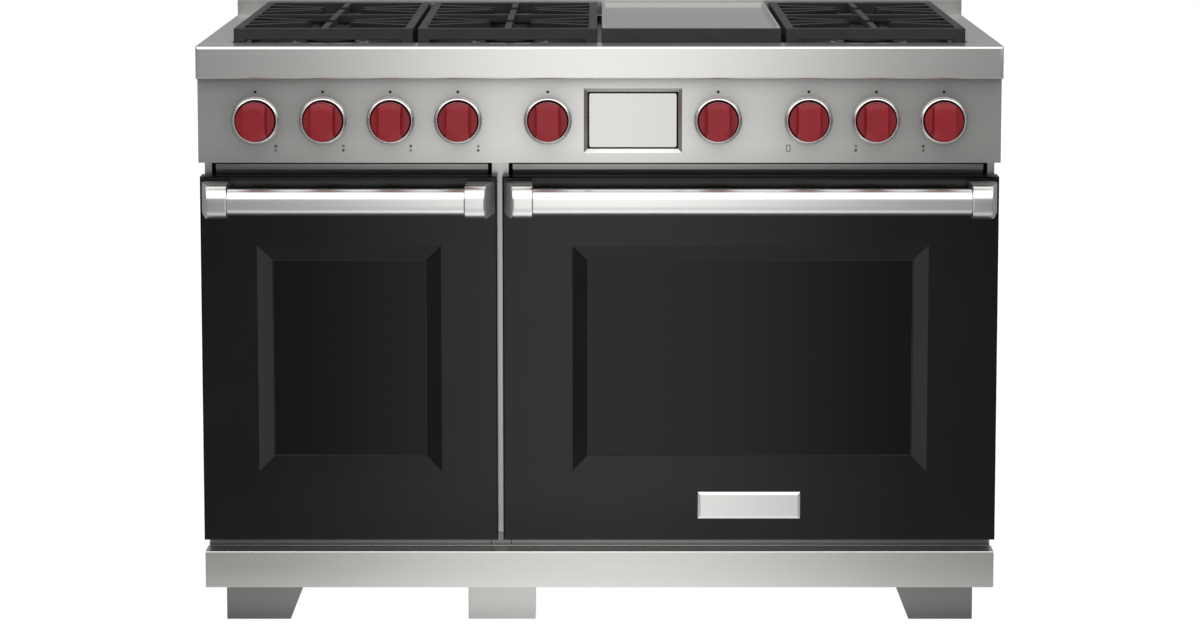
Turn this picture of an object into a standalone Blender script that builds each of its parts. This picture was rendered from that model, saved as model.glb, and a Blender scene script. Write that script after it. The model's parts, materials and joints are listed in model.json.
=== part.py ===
"""A freestanding gas range, 48 inch class, built as separate pieces.

Units are metres. +X is to the right seen from the front, -Y is the front, +Z is up.
The origin is the centre of the bounding box's base. Depths are given from the front
of the bullnose towards the back and turned into Y by back().
"""
import math

import bmesh
import bpy
from mathutils import Matrix

# ---- overall sizes
WIDTH = 1.216
BODY_DEPTH = 0.749
LEG_HEIGHT = 0.0635
BASE_TRIM_HEIGHT = 0.0565
BASE_TO_DOOR = 0.018
DOOR_HEIGHT = 0.5625
VENT_HEIGHT = 0.024
CONTROL_HEIGHT = 0.128
BULLNOSE_HEIGHT = 0.0495
TRIM_RISE = 0.025

# ---- clearances and sheet
GAP = 0.0003
RUN_GAP = 0.0001
SHEET = 0.0015
SKIN = 0.002
ROUND = 32
SMALL_ROUND = 24

# ---- levels
BASE_TOP = LEG_HEIGHT + BASE_TRIM_HEIGHT
DOOR_LOW = BASE_TOP + BASE_TO_DOOR
DOOR_HIGH = DOOR_LOW + DOOR_HEIGHT
PANEL_LOW = DOOR_HIGH + VENT_HEIGHT
PANEL_HIGH = PANEL_LOW + CONTROL_HEIGHT
DECK = PANEL_HIGH + BULLNOSE_HEIGHT
TRIM_TOP = DECK + TRIM_RISE

# ---- depths behind the front of the bullnose
BULLNOSE_DEPTH = 0.070
BULLNOSE_CORNER = 0.005
PANEL_FACE = 0.019
DOOR_FACE = 0.045
DOOR_THICK = 0.040
DOOR_BACK = DOOR_FACE + DOOR_THICK
FRAME_FACE = DOOR_BACK + 0.007
FRAME_THICK = 0.002
FRAME_BACK = FRAME_FACE + FRAME_THICK
TRIM_DEPTH = 0.049
TRIM_FACE = BODY_DEPTH - TRIM_DEPTH
BACK_FACE = BODY_DEPTH - 0.0017
BACK_INNER = BACK_FACE - SHEET

# ---- half widths
HALF = WIDTH / 2
HALF_FRONT = HALF - 0.001
HALF_SIDE = HALF - 0.003

# ---- doors
LEFT_DOOR_SHARE = 0.3717
DOOR_GAP = 0.008
DOOR_CHAMFER = 0.002
LEFT_DOOR = (-HALF, -HALF + WIDTH * LEFT_DOOR_SHARE)
RIGHT_DOOR = (LEFT_DOOR[1] + DOOR_GAP, HALF)
WINDOW_SIDE_LEFT = 0.1085
WINDOW_SIDE_RIGHT = 0.129
WINDOW_LOW = 0.1305
WINDOW_HIGH = 0.1285
WINDOW_BEVEL = 0.0225
WINDOW_SINK = 0.008
GLASS_THICK = 0.004
GLASS_LAP = 0.010
TUNNEL_LAP = 0.006
INNER_RIM = 0.019
SEAL_WIDTH = 0.010
SEAL_MARGIN = 0.006

# ---- door hinges
PIVOT_UP = 0.013
PIVOT_IN = 0.014
HINGE_INSET = 0.042
ARM_THICK = 0.005
ARM_HALF = 0.006
PIN_RADIUS = 0.004
PIN_HALF_LENGTH = 0.012
SLOT_SIDE = 0.001
SLOT_REACH = 0.0015
RECEIVER_HALF = 0.015
RECEIVER_HIGH = 0.012
RECEIVER_DEEP = 0.012

# ---- handles
HANDLE_STANDOFF = 0.058
HANDLE_BELOW_TOP = 0.0322
BAR_RADIUS = 0.020
BAR_WALL = 0.002
BRACKET_RADIUS = 0.0245
BRACKET_WIDTH = 0.044
BRACKET_EDGE = 0.003
BRACKET_ROUND = 0.008
BRACKET_STEPS = 4
BRACKET_ARC = 12

# ---- oven cavities, inside sizes
LEFT_CAVITY_WIDTH = 0.311
RIGHT_CAVITY_WIDTH = 0.638
LEFT_CAVITY_HEIGHT = 0.419
RIGHT_CAVITY_HEIGHT = 0.445
CAVITY_DEPTH = 0.508
CAVITY_ABOVE_DOOR_LOW = 0.052
LEDGE_WIDE = 0.009
LEDGE_HIGH = 0.004
LEDGE_INSET = 0.020
LEDGE_SHARES = (0.28, 0.62)
RACK_LEDGE = 0

# ---- racks
RACK_THICK = 0.005
RACK_SIDE_GAP = 0.003
RACK_FRONT_GAP = 0.012
RACK_DEPTH = 0.470
RACK_BAR = 0.005
RACK_PITCH = 0.036
RACK_RIM = 0.007

# ---- frame posts and vents
SIDE_POST = 0.011
CENTER_POST = 0.026
VENT_MARGIN = 0.002
VENT_DROP = 0.001

# ---- base trim edge: side, height, depth
BASE_CHAMFER = (0.0004, 0.0016, 0.0010)

# ---- legs
LEG_FACE = FRAME_FACE + 0.015
LEG_DEEP = 0.060
LEG_EDGE = 0.0274
LEG_TOP_WIDE = 0.1240
LEG_FOOT_WIDE = 0.0991
CENTER_LEG_WIDE = 0.1045
LEG_WALL = 0.002
REAR_LEG_BACK = 0.030

# ---- cooktop
SIDE_DECK = 0.051
WELL_DEEP = 0.012
WELL_MARGIN = 0.003
PAN_FLANGE = BULLNOSE_HEIGHT - GAP
MODULE_GAP = 0.0073
GRATE_FRONT = BULLNOSE_DEPTH + 0.010
GRATE_BACK = TRIM_FACE - 0.005
GRATE_RISE = 0.0215
GRATE_BAR_HIGH = 0.012
GRATE_RAIL_HIGH = 0.0175
RAIL_WIDE = 0.013
FINGER_ROOT = 0.010
FINGER_TIP = 0.006
FINGER_STOP = 0.030
FINGER_SPREAD = 0.085
FINGER_CONVERGE = 0.024
FOOT_SIZE = 0.018
MODULE_WIDE = (WIDTH - 2 * SIDE_DECK - 3 * MODULE_GAP) / 4
BURNER_FRONT_SHARE = 0.27
BURNER_REAR_SHARE = 0.75
BASE_RING_RADIUS = 0.056
BASE_RING_HIGH = 0.003
HEAD_RADIUS = 0.036
HEAD_HIGH = 0.0105
CAP_RADIUS = 0.041
CAP_HIGH = 0.006
CAP_CROWN = 0.0015

# ---- griddle
GRIDDLE_SURFACE_DOWN = 0.007
GRIDDLE_PLATE_THICK = 0.010
GRIDDLE_RIM = 0.005
GRIDDLE_SPLASH = 0.022
TRAY_DEEP = 0.032
TRAY_WALL = 0.002

# ---- knobs
KNOB_RADIUS = 0.0298
KNOB_PROUD = 0.032
KNOB_SKIRT = 0.012
KNOB_NOSE = 0.0255
KNOB_CHAMFER = 0.006
KNOB_GRIP = 0.032
KNOB_CLEAR = 0.001
STEM_RADIUS = 0.003
STEM_END = 0.056
PANEL_HOLE = 0.004
KNOB_PITCH = WIDTH * 0.0839
KNOB_END = HALF - WIDTH * 0.4276
DISPLAY_X = WIDTH * 0.0415
OVEN_KNOB_OUT = WIDTH * 0.1058
KNOB_LEVEL = PANEL_LOW + CONTROL_HEIGHT / 2

# ---- turning display
PLATE_WIDE = 0.1325
PLATE_HIGH = 0.0818
PLATE_THICK = 0.012
PLATE_SINK = 0.005
PLATE_CORNER = 0.003
OPENING_SIDE = 0.0022
OPENING_HIGH = 0.0022
BEVEL_SIDE = 0.0058
BEVEL_HIGH = 0.0059
RIM_WIDE = 0.0105
RIM_HIGH = 0.0086
RIM_DEEP = 0.018
TRUNNION_RADIUS = 0.003
TRUNNION_LENGTH = 0.007
TRUNNION_END_GAP = 0.0005
SCREEN_EDGE = 0.005
SCREEN_THICK = 0.002

# ---- gas manifold
VALVE_HALF = 0.011
VALVE_FRONT = 0.050
VALVE_BACK = 0.086
VALVE_ABOVE = 0.012
VALVE_BORE_DEEP = 0.008
TUBE_RADIUS = 0.008
TUBE_DOWN = 0.030
SUPPLY_RADIUS = 0.0105
SUPPLY_EDGE = 0.024
SUPPLY_PROUD = 0.0
HOLE_CLEAR = 0.001

# ---- island trim vents
VENT_SLOTS = 10
VENT_SLOT_SHARE = 0.72
VENT_SLOT_EDGE = 0.015
VENT_SIDE_EDGE = 0.060

BRACKET_FRONT = DOOR_FACE - HANDLE_STANDOFF - BRACKET_RADIUS
ORIGIN_DEPTH = (BRACKET_FRONT + BODY_DEPTH) / 2


def back(depth):
    """World Y of a depth behind the bullnose front."""
    return depth - ORIGIN_DEPTH


def clear_scene():
    for item in list(bpy.data.objects):
        bpy.data.objects.remove(item, do_unlink=True)


# ---------------------------------------------------------------- materials
def make_material(name, colour, metallic, roughness, alpha=1.0):
    material = bpy.data.materials.new(name)
    material.use_nodes = True
    shader = material.node_tree.nodes["Principled BSDF"]
    shader.inputs["Base Color"].default_value = (*colour, 1.0)
    shader.inputs["Metallic"].default_value = metallic
    shader.inputs["Roughness"].default_value = roughness
    shader.inputs["Alpha"].default_value = alpha
    return material


def make_materials():
    return {
        "steel": make_material("steel", (0.62, 0.61, 0.60), 1.0, 0.32),
        "handle_steel": make_material("handle_steel", (0.75, 0.75, 0.74), 1.0, 0.2),
        "black_enamel": make_material("black_enamel", (0.012, 0.012, 0.012), 0.0, 0.2),
        "oven_enamel": make_material("oven_enamel", (0.03, 0.035, 0.06), 0.0, 0.3),
        "dark_glass": make_material("dark_glass", (0.01, 0.01, 0.01), 0.0, 0.05, 0.8),
        "grate_iron": make_material("grate_iron", (0.02, 0.02, 0.02), 0.0, 0.6),
        "cap_enamel": make_material("cap_enamel", (0.02, 0.02, 0.02), 0.0, 0.45),
        "griddle_steel": make_material("griddle_steel", (0.55, 0.54, 0.52), 1.0, 0.38),
        "red_knob": make_material("red_knob", (0.25, 0.02, 0.025), 0.0, 0.35),
        "seal_rubber": make_material("seal_rubber", (0.03, 0.03, 0.03), 0.0, 0.8),
        "rack_wire": make_material("rack_wire", (0.6, 0.6, 0.6), 1.0, 0.25),
        "zinc_steel": make_material("zinc_steel", (0.45, 0.45, 0.44), 1.0, 0.5),
        "aluminium": make_material("aluminium", (0.6, 0.6, 0.6), 1.0, 0.45),
    }


# ---------------------------------------------------------------- mesh tools
def finish(name, bm, material):
    """Turn a bmesh into a named object with its normals pointing outwards."""
    bmesh.ops.recalc_face_normals(bm, faces=bm.faces[:])
    mesh = bpy.data.meshes.new(name)
    bm.to_mesh(mesh)
    bm.free()
    if material is not None:
        mesh.materials.append(material)
    item = bpy.data.objects.new(name, mesh)
    bpy.context.collection.objects.link(item)
    return item


def box_bmesh(low, high):
    bm = bmesh.new()
    bmesh.ops.create_cube(bm, size=1.0)
    for vert in bm.verts:
        for k in range(3):
            vert.co[k] = high[k] if vert.co[k] > 0 else low[k]
    return bm


def box(name, low, high, material=None):
    return finish(name, box_bmesh(low, high), material)


def rect_corners(loop, axis):
    a0, a1, b0, b1, c = loop
    flat = [(a0, b0), (a1, b0), (a1, b1), (a0, b1)]
    if axis == "Y":
        return [(a, c, b) for a, b in flat]
    return [(a, b, c) for a, b in flat]


def loops_solid(name, loops, axis, material=None, closed=False):
    """Join rectangular loops; the ends are capped, or joined when closed."""
    bm = bmesh.new()
    rings = [[bm.verts.new(p) for p in rect_corners(loop, axis)] for loop in loops]
    skin_rings(bm, rings, closed)
    return finish(name, bm, material)


def skin_rings(bm, rings, closed):
    count = len(rings)
    size = len(rings[0])
    last = count if closed else count - 1
    for i in range(last):
        here = rings[i]
        there = rings[(i + 1) % count]
        for k in range(size):
            n = (k + 1) % size
            bm.faces.new((here[k], here[n], there[n], there[k]))
    if not closed:
        bm.faces.new(rings[0])
        bm.faces.new(rings[-1])


def lathe(name, profile, centre, axis, material=None, segments=ROUND):
    """Turn (radius, along) points about an axis; both ends are on the axis or capped."""
    bm = bmesh.new()
    rings = []
    for radius, along in profile:
        ring = []
        for k in range(segments):
            turn = math.tau * (k + 0.5) / segments
            u = radius * math.cos(turn)
            v = radius * math.sin(turn)
            spot = {"X": (along, u, v), "Y": (u, along, v), "Z": (u, v, along)}[axis]
            ring.append(bm.verts.new([spot[i] + centre[i] for i in range(3)]))
        rings.append(ring)
    skin_rings(bm, rings, False)
    return finish(name, bm, material)


def tube(name, outer, inner, start, end, centre, axis, material=None, segments=ROUND):
    bm = bmesh.new()
    rings = []
    for radius, along in ((outer, start), (outer, end), (inner, end), (inner, start)):
        ring = []
        for k in range(segments):
            turn = math.tau * (k + 0.5) / segments
            u = radius * math.cos(turn)
            v = radius * math.sin(turn)
            spot = {"X": (along, u, v), "Y": (u, along, v), "Z": (u, v, along)}[axis]
            ring.append(bm.verts.new([spot[i] + centre[i] for i in range(3)]))
        rings.append(ring)
    skin_rings(bm, rings, True)
    return finish(name, bm, material)


def grid_plate(name, across, along, solid, low, high, axis, material=None):
    """A plate of grid cells between two levels; solid(i, j) says which cells are full."""
    bm = bmesh.new()
    verts = {}

    def spot(i, j, level):
        key = (i, j, level)
        if key not in verts:
            a, b = across[i], along[j]
            place = (a, level, b) if axis == "Y" else (a, b, level)
            verts[key] = bm.verts.new(place)
        return verts[key]

    def full(i, j):
        inside = 0 <= i < len(across) - 1 and 0 <= j < len(along) - 1
        return inside and solid(i, j)

    for i in range(len(across) - 1):
        for j in range(len(along) - 1):
            if not full(i, j):
                continue
            for level in (low, high):
                corners = ((i, j), (i + 1, j), (i + 1, j + 1), (i, j + 1))
                bm.faces.new([spot(a, b, level) for a, b in corners])
            sides = (
                ((i - 1, j), (i, j), (i, j + 1)),
                ((i + 1, j), (i + 1, j), (i + 1, j + 1)),
                ((i, j - 1), (i, j), (i + 1, j)),
                ((i, j + 1), (i, j + 1), (i + 1, j + 1)),
            )
            for other, p, q in sides:
                if not full(*other):
                    quad = (spot(*p, low), spot(*q, low), spot(*q, high), spot(*p, high))
                    bm.faces.new(quad)
    return finish(name, bm, material)


def boolean(target, tool, operation):
    modifier = target.modifiers.new(operation, "BOOLEAN")
    modifier.operation = operation
    modifier.solver = "EXACT"
    modifier.object = tool
    graph = bpy.context.evaluated_depsgraph_get()
    mesh = bpy.data.meshes.new_from_object(target.evaluated_get(graph))
    target.modifiers.clear()
    old = target.data
    target.data = mesh
    bpy.data.meshes.remove(old)
    bpy.data.objects.remove(tool, do_unlink=True)
    tidy_mesh(mesh)


def tidy_mesh(mesh):
    bm = bmesh.new()
    bm.from_mesh(mesh)
    bmesh.ops.remove_doubles(bm, verts=bm.verts[:], dist=1e-6)
    bmesh.ops.dissolve_degenerate(bm, edges=bm.edges[:], dist=1e-7)
    bm.to_mesh(mesh)
    bm.free()


def cut(target, tool):
    boolean(target, tool, "DIFFERENCE")


def join(target, tool):
    boolean(target, tool, "UNION")


def smooth(item):
    item.data.shade_smooth()


def set_origin(item, point):
    """Move an object's origin to a point on its joint axis."""
    item.data.transform(Matrix.Translation([-c for c in point]))
    item.location = point


# ---------------------------------------------------------------- carcass
def cavity_box(side):
    """Inside of an oven: x0, x1, z0, z1."""
    door, width, height = {
        "left": (LEFT_DOOR, LEFT_CAVITY_WIDTH, LEFT_CAVITY_HEIGHT),
        "right": (RIGHT_DOOR, RIGHT_CAVITY_WIDTH, RIGHT_CAVITY_HEIGHT),
    }[side]
    middle = (door[0] + door[1]) / 2
    low = DOOR_LOW + CAVITY_ABOVE_DOOR_LOW
    return middle - width / 2, middle + width / 2, low, low + height


def make_front_frame(mats):
    lx0, lx1, lz0, lz1 = cavity_box("left")
    rx0, rx1, rz0, rz1 = cavity_box("right")
    post = (LEFT_DOOR[1] + RIGHT_DOOR[0]) / 2
    vent_low = DOOR_HIGH - VENT_DROP
    vent_high = PANEL_LOW - VENT_MARGIN
    across = sorted([-HALF_SIDE, -HALF_SIDE + SIDE_POST, lx0, lx1, post - CENTER_POST / 2,
                     post + CENTER_POST / 2, rx0, rx1, HALF_SIDE - SIDE_POST, HALF_SIDE])
    along = sorted([LEG_HEIGHT, lz0, lz1, rz1, vent_low, vent_high, PANEL_HIGH - GAP])
    holes = (
        (lx0, lx1, lz0, lz1),
        (rx0, rx1, rz0, rz1),
        (-HALF_SIDE + SIDE_POST, post - CENTER_POST / 2, vent_low, vent_high),
        (post + CENTER_POST / 2, HALF_SIDE - SIDE_POST, vent_low, vent_high),
    )

    def solid(i, j):
        x = (across[i] + across[i + 1]) / 2
        z = (along[j] + along[j + 1]) / 2
        return not any(h[0] < x < h[1] and h[2] < z < h[3] for h in holes)

    frame = grid_plate("front_frame", across, along, solid,
                       back(FRAME_FACE), back(FRAME_BACK), "Y", mats["steel"])
    supply = supply_spot()
    cut(frame, lathe("hole", [(SUPPLY_RADIUS + HOLE_CLEAR, -SHEET * 4),
                              (SUPPLY_RADIUS + HOLE_CLEAR, SHEET * 4)],
                     (supply[0], back(FRAME_FACE), supply[1]), "Y", None, SMALL_ROUND))


def make_side_panel(name, sign, mats):
    edges = sorted((sign * HALF_SIDE, sign * (HALF_SIDE - SHEET)))
    box(name, (edges[0], back(FRAME_BACK + GAP), LEG_HEIGHT + SKIN + GAP * 2),
        (edges[1], back(BACK_INNER - GAP), DECK - PAN_FLANGE - GAP), mats["steel"])


def make_back_panel(mats):
    panel = box("back_panel", (-HALF_SIDE, back(BACK_INNER), LEG_HEIGHT),
                (HALF_SIDE, back(BACK_FACE), DECK - GAP), mats["zinc_steel"])
    supply = supply_spot()
    cut(panel, lathe("hole", [(SUPPLY_RADIUS + HOLE_CLEAR, -SHEET * 4),
                              (SUPPLY_RADIUS + HOLE_CLEAR, SHEET * 4)],
                     (supply[0], back(BACK_FACE), supply[1]), "Y", None, SMALL_ROUND))


def make_base_pan(mats):
    box("base_pan", (-HALF_SIDE, back(FRAME_BACK + GAP), LEG_HEIGHT + GAP),
        (HALF_SIDE, back(BACK_INNER - GAP), LEG_HEIGHT + SKIN + GAP), mats["zinc_steel"])


def make_base_trim(mats):
    outer = (-HALF_FRONT, HALF_FRONT, LEG_HEIGHT, BASE_TOP)
    inner = (-HALF_FRONT + SKIN, HALF_FRONT - SKIN, LEG_HEIGHT + SKIN, BASE_TOP - SKIN)
    face = back(DOOR_FACE)
    rear = back(FRAME_FACE - GAP)
    side, high, deep = BASE_CHAMFER
    front = (outer[0] + side, outer[1] - side, outer[2] + high, outer[3] - high, face)
    loops = [front, (*outer, face + deep), (*outer, rear), (*inner, rear), (*inner, face + SKIN)]
    loops_solid("base_trim", loops, "Y", mats["steel"])


def leg(name, top, foot, front, mats):
    wall = LEG_WALL
    y0, y1 = back(front), back(front + LEG_DEEP)
    high = LEG_HEIGHT - GAP
    loops = [
        (*foot, y0, y1, 0.0),
        (*top, y0, y1, high),
        (top[0] + wall, top[1] - wall, y0 + wall, y1 - wall, high),
        (foot[0] + wall, foot[1] - wall, y0 + wall, y1 - wall, wall),
    ]
    loops_solid(name, loops, "Z", mats["steel"])


def make_legs(mats):
    edge = HALF - LEG_EDGE
    post = (LEFT_DOOR[1] + RIGHT_DOOR[0]) / 2
    rear = BODY_DEPTH - REAR_LEG_BACK - LEG_DEEP
    left_top = (-edge, -edge + LEG_TOP_WIDE)
    left_foot = (-edge, -edge + LEG_FOOT_WIDE)
    right_top = (edge - LEG_TOP_WIDE, edge)
    right_foot = (edge - LEG_FOOT_WIDE, edge)
    middle = (post - CENTER_LEG_WIDE / 2, post + CENTER_LEG_WIDE / 2)
    leg("front_left_leg", left_top, left_foot, LEG_FACE, mats)
    leg("front_center_leg", middle, middle, LEG_FACE, mats)
    leg("front_right_leg", right_top, right_foot, LEG_FACE, mats)
    leg("rear_left_leg", left_top, left_foot, rear, mats)
    leg("rear_right_leg", right_top, right_foot, rear, mats)


def make_bullnose(mats):
    """A folded sheet front rail, open at the back, with rounded front edges."""
    steps = 3
    r = BULLNOSE_CORNER
    y0 = back(0.0)
    rear = back(BULLNOSE_DEPTH)
    loops = []
    for k in range(steps + 1):
        turn = math.pi / 2 * k / steps
        inset = r * (1 - math.sin(turn))
        sink = r * (1 - math.cos(turn))
        loops.append((-HALF + inset, HALF - inset, PANEL_HIGH + inset, DECK - inset, y0 + sink))
    outer = (-HALF, HALF, PANEL_HIGH, DECK)
    inner = (-HALF + SKIN, HALF - SKIN, PANEL_HIGH + SKIN, DECK - SKIN)
    loops += [(*outer, rear), (*inner, rear), (*inner, y0 + r)]
    loops_solid("bullnose", loops, "Y", mats["steel"])


def make_island_trim(mats):
    t = SHEET
    y0, y1 = back(TRIM_FACE), back(BODY_DEPTH)
    low = DECK - PAN_FLANGE
    loops = [
        (-HALF + t, HALF - t, y0 + t, y1 - t, TRIM_TOP - t),
        (-HALF + t, HALF - t, y0 + t, y1 - t, low),
        (-HALF, HALF, y0, y1, low),
        (-HALF, HALF, y0, y1, TRIM_TOP),
    ]
    trim = loops_solid("island_trim", loops, "Z", mats["steel"])
    pitch = (WIDTH - 2 * VENT_SIDE_EDGE) / VENT_SLOTS
    for k in range(VENT_SLOTS):
        middle = -HALF + VENT_SIDE_EDGE + pitch * (k + 0.5)
        half = pitch * VENT_SLOT_SHARE / 2
        cut(trim, box("slot", (middle - half, y0 + VENT_SLOT_EDGE, TRIM_TOP - SHEET * 3),
                      (middle + half, y1 - VENT_SLOT_EDGE, TRIM_TOP + SHEET)))


# ---------------------------------------------------------------- cooktop
def module_span(index):
    start = -HALF + SIDE_DECK + index * (MODULE_WIDE + MODULE_GAP)
    return start, start + MODULE_WIDE


def burner_spots():
    """(name, x, y) of every burner, from the front left to the rear right."""
    spots = []
    for label, index in (("left", 0), ("middle", 1), ("right", 3)):
        x0, x1 = module_span(index)
        for row, share in (("front", BURNER_FRONT_SHARE), ("rear", BURNER_REAR_SHARE)):
            depth = GRATE_FRONT + (GRATE_BACK - GRATE_FRONT) * share
            spots.append((f"{row}_{label}", (x0 + x1) / 2, back(depth)))
    return spots


def make_cooktop_pan(mats):
    t = SHEET
    wx = HALF - SIDE_DECK + WELL_MARGIN
    wy0 = back(GRATE_FRONT - WELL_MARGIN)
    wy1 = back(GRATE_BACK + WELL_MARGIN)
    oy0 = back(BULLNOSE_DEPTH + GAP)
    oy1 = back(TRIM_FACE - GAP)
    floor = DECK - WELL_DEEP
    loops = [
        (-wx - t, wx + t, wy0 - t, wy1 + t, floor - t),
        (-wx - t, wx + t, wy0 - t, wy1 + t, DECK - t),
        (-HALF + t, HALF - t, oy0 + t, oy1 - t, DECK - t),
        (-HALF + t, HALF - t, oy0 + t, oy1 - t, DECK - PAN_FLANGE),
        (-HALF, HALF, oy0, oy1, DECK - PAN_FLANGE),
        (-HALF, HALF, oy0, oy1, DECK),
        (-wx, wx, wy0, wy1, DECK),
        (-wx, wx, wy0, wy1, floor),
    ]
    pan = loops_solid("cooktop_pan", loops, "Z", mats["steel"])
    for _, x, y in burner_spots():
        profile = [
            (BASE_RING_RADIUS, floor - t / 2),
            (BASE_RING_RADIUS, floor + BASE_RING_HIGH),
            (HEAD_RADIUS, floor + BASE_RING_HIGH),
            (HEAD_RADIUS, floor + HEAD_HIGH),
        ]
        join(pan, lathe("burner_base", profile, (x, y, 0.0), "Z"))


def make_burner_caps(mats):
    floor = DECK - WELL_DEEP
    low = floor + HEAD_HIGH + GAP
    for name, x, y in burner_spots():
        profile = [
            (CAP_RADIUS, low),
            (CAP_RADIUS, low + CAP_HIGH - CAP_CROWN * 2),
            (CAP_RADIUS - CAP_CROWN * 2, low + CAP_HIGH),
            (CAP_RADIUS * 0.3, low + CAP_HIGH),
        ]
        cap = lathe(f"burner_cap_{name}", profile, (x, y, 0.0), "Z", mats["cap_enamel"])
        smooth(cap)


def bar(start, end, half_start, half_end, low, high):
    """A tapered straight bar between two plan points."""
    bm = bmesh.new()
    dx, dy = end[0] - start[0], end[1] - start[1]
    length = math.hypot(dx, dy)
    nx, ny = -dy / length, dx / length
    plan = [
        (start[0] + nx * half_start, start[1] + ny * half_start),
        (start[0] - nx * half_start, start[1] - ny * half_start),
        (end[0] - nx * half_end, end[1] - ny * half_end),
        (end[0] + nx * half_end, end[1] + ny * half_end),
    ]
    rings = [[bm.verts.new((x, y, z)) for x, y in plan] for z in (low, high)]
    skin_rings(bm, rings, False)
    return finish("bar", bm, None)


def grate_fingers(x0, x1, y0, y1, low, high):
    """Bars inside one grate: a broken centre bar, a cross bar and fingers to each burner."""
    middle = (x0 + x1) / 2
    deep = y1 - y0
    burners = [y0 + deep * BURNER_FRONT_SHARE, y0 + deep * BURNER_REAR_SHARE]
    stop = FINGER_STOP
    root, tip = FINGER_ROOT / 2, FINGER_TIP / 2
    lap = RAIL_WIDE / 2
    bars = [
        bar((middle, y0 + lap), (middle, burners[0] - stop), root, root, low, high),
        bar((middle, burners[0] + stop), (middle, burners[1] - stop), root, root, low, high),
        bar((middle, burners[1] + stop), (middle, y1 - lap), root, root, low, high),
        bar((x0 + lap, (burners[0] + burners[1]) / 2), (x1 - lap, (burners[0] + burners[1]) / 2),
            root, root, low, high),
    ]
    for y in burners:
        for sign, side in ((-1, x0 + lap), (1, x1 - lap)):
            inner = middle + sign * stop * 1.3
            bars.append(bar((side, y), (inner, y), root, tip, low, high))
            for lean in (-1, 1):
                start = (side, y + lean * FINGER_SPREAD)
                end = (middle + sign * stop * 1.1, y + lean * FINGER_CONVERGE)
                bars.append(bar(start, end, root, tip, low, high))
    return bars


def make_grate(name, index, mats):
    x0, x1 = module_span(index)
    y0, y1 = back(GRATE_FRONT), back(GRATE_BACK)
    high = DECK + GRATE_RISE
    low = high - GRATE_BAR_HIGH
    floor = DECK - WELL_DEEP + GAP
    rail_low = high - GRATE_RAIL_HIGH
    across = [x0, x0 + RAIL_WIDE, x1 - RAIL_WIDE, x1]
    along = [y0, y0 + RAIL_WIDE, y1 - RAIL_WIDE, y1]
    grate = grid_plate(name, across, along, lambda i, j: not (i == 1 and j == 1),
                       rail_low, high, "Z", mats["grate_iron"])
    for finger in grate_fingers(x0, x1, y0, y1, low, high):
        join(grate, finger)
    half_deep = (y0 + y1) / 2
    for fx in (x0, x1 - FOOT_SIZE):
        for fy in (y0, half_deep - FOOT_SIZE / 2, y1 - FOOT_SIZE):
            foot = box("foot", (fx, fy, floor), (fx + FOOT_SIZE, fy + FOOT_SIZE, high))
            join(grate, foot)


def make_griddle(mats):
    x0, x1 = module_span(2)
    high = DECK + GRATE_RISE
    floor = DECK - WELL_DEEP + GAP
    y0, y1 = back(GRATE_FRONT + TRAY_DEEP + GAP), back(GRATE_BACK)
    surface = high - GRIDDLE_SURFACE_DOWN
    under = surface - GRIDDLE_PLATE_THICK
    plate = box("griddle_plate", (x0, y0, floor), (x1, y1, high), mats["griddle_steel"])
    rim = GRIDDLE_RIM
    top = high + rim
    slope = (top - surface) / (high - surface)
    pocket = [
        (x0 + rim, x1 - rim, y0 - rim, y1 - rim - GRIDDLE_SPLASH, surface),
        (x0 + rim, x1 - rim, y0 - rim, y1 - rim - GRIDDLE_SPLASH + GRIDDLE_SPLASH * slope, top),
    ]
    cut(plate, loops_solid("pocket", pocket, "Z"))
    hollow = box("hollow", (x0 + rim, y0 + rim, floor - rim), (x1 - rim, y1 - rim, under))
    cut(plate, hollow)


def make_drip_tray(mats):
    x0, x1 = module_span(2)
    y0, y1 = back(GRATE_FRONT), back(GRATE_FRONT + TRAY_DEEP)
    low = DECK - WELL_DEEP + GAP
    high = DECK + GRATE_RISE
    rear = high - GRIDDLE_SURFACE_DOWN - GAP
    w = TRAY_WALL
    loops = [
        (x0, x1, y0, y1, low),
        (x0, x1, y0, y1, high),
        (x0 + w, x1 - w, y0 + w * 4, y1 - w, high),
        (x0 + w, x1 - w, y0 + w * 4, y1 - w, low + w),
    ]
    tray = loops_solid("griddle_drip_tray", loops, "Z", mats["cap_enamel"])
    lip = box("lip", (x0 + w, y1 - w * 2, rear), (x1 - w, y1 + w, high + w))
    cut(tray, lip)


# ---------------------------------------------------------------- control panel
def supply_spot():
    """x and z of the gas supply pipe."""
    return HALF_SIDE - SUPPLY_EDGE - SHEET, KNOB_LEVEL - TUBE_DOWN


def knob_spots():
    """(name, x) of every knob from left to right."""
    first = -HALF + KNOB_END
    last = HALF - KNOB_END
    return [
        ("knob_front_left", first),
        ("knob_rear_left", first + KNOB_PITCH),
        ("knob_front_middle", first + 2 * KNOB_PITCH),
        ("knob_rear_middle", first + 3 * KNOB_PITCH),
        ("knob_left_oven", DISPLAY_X - OVEN_KNOB_OUT),
        ("knob_right_oven", DISPLAY_X + OVEN_KNOB_OUT),
        ("knob_griddle", last - 2 * KNOB_PITCH),
        ("knob_rear_right", last - KNOB_PITCH),
        ("knob_front_right", last),
    ]


def gas_knob_places():
    return [x for name, x in knob_spots() if "oven" not in name]


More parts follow.
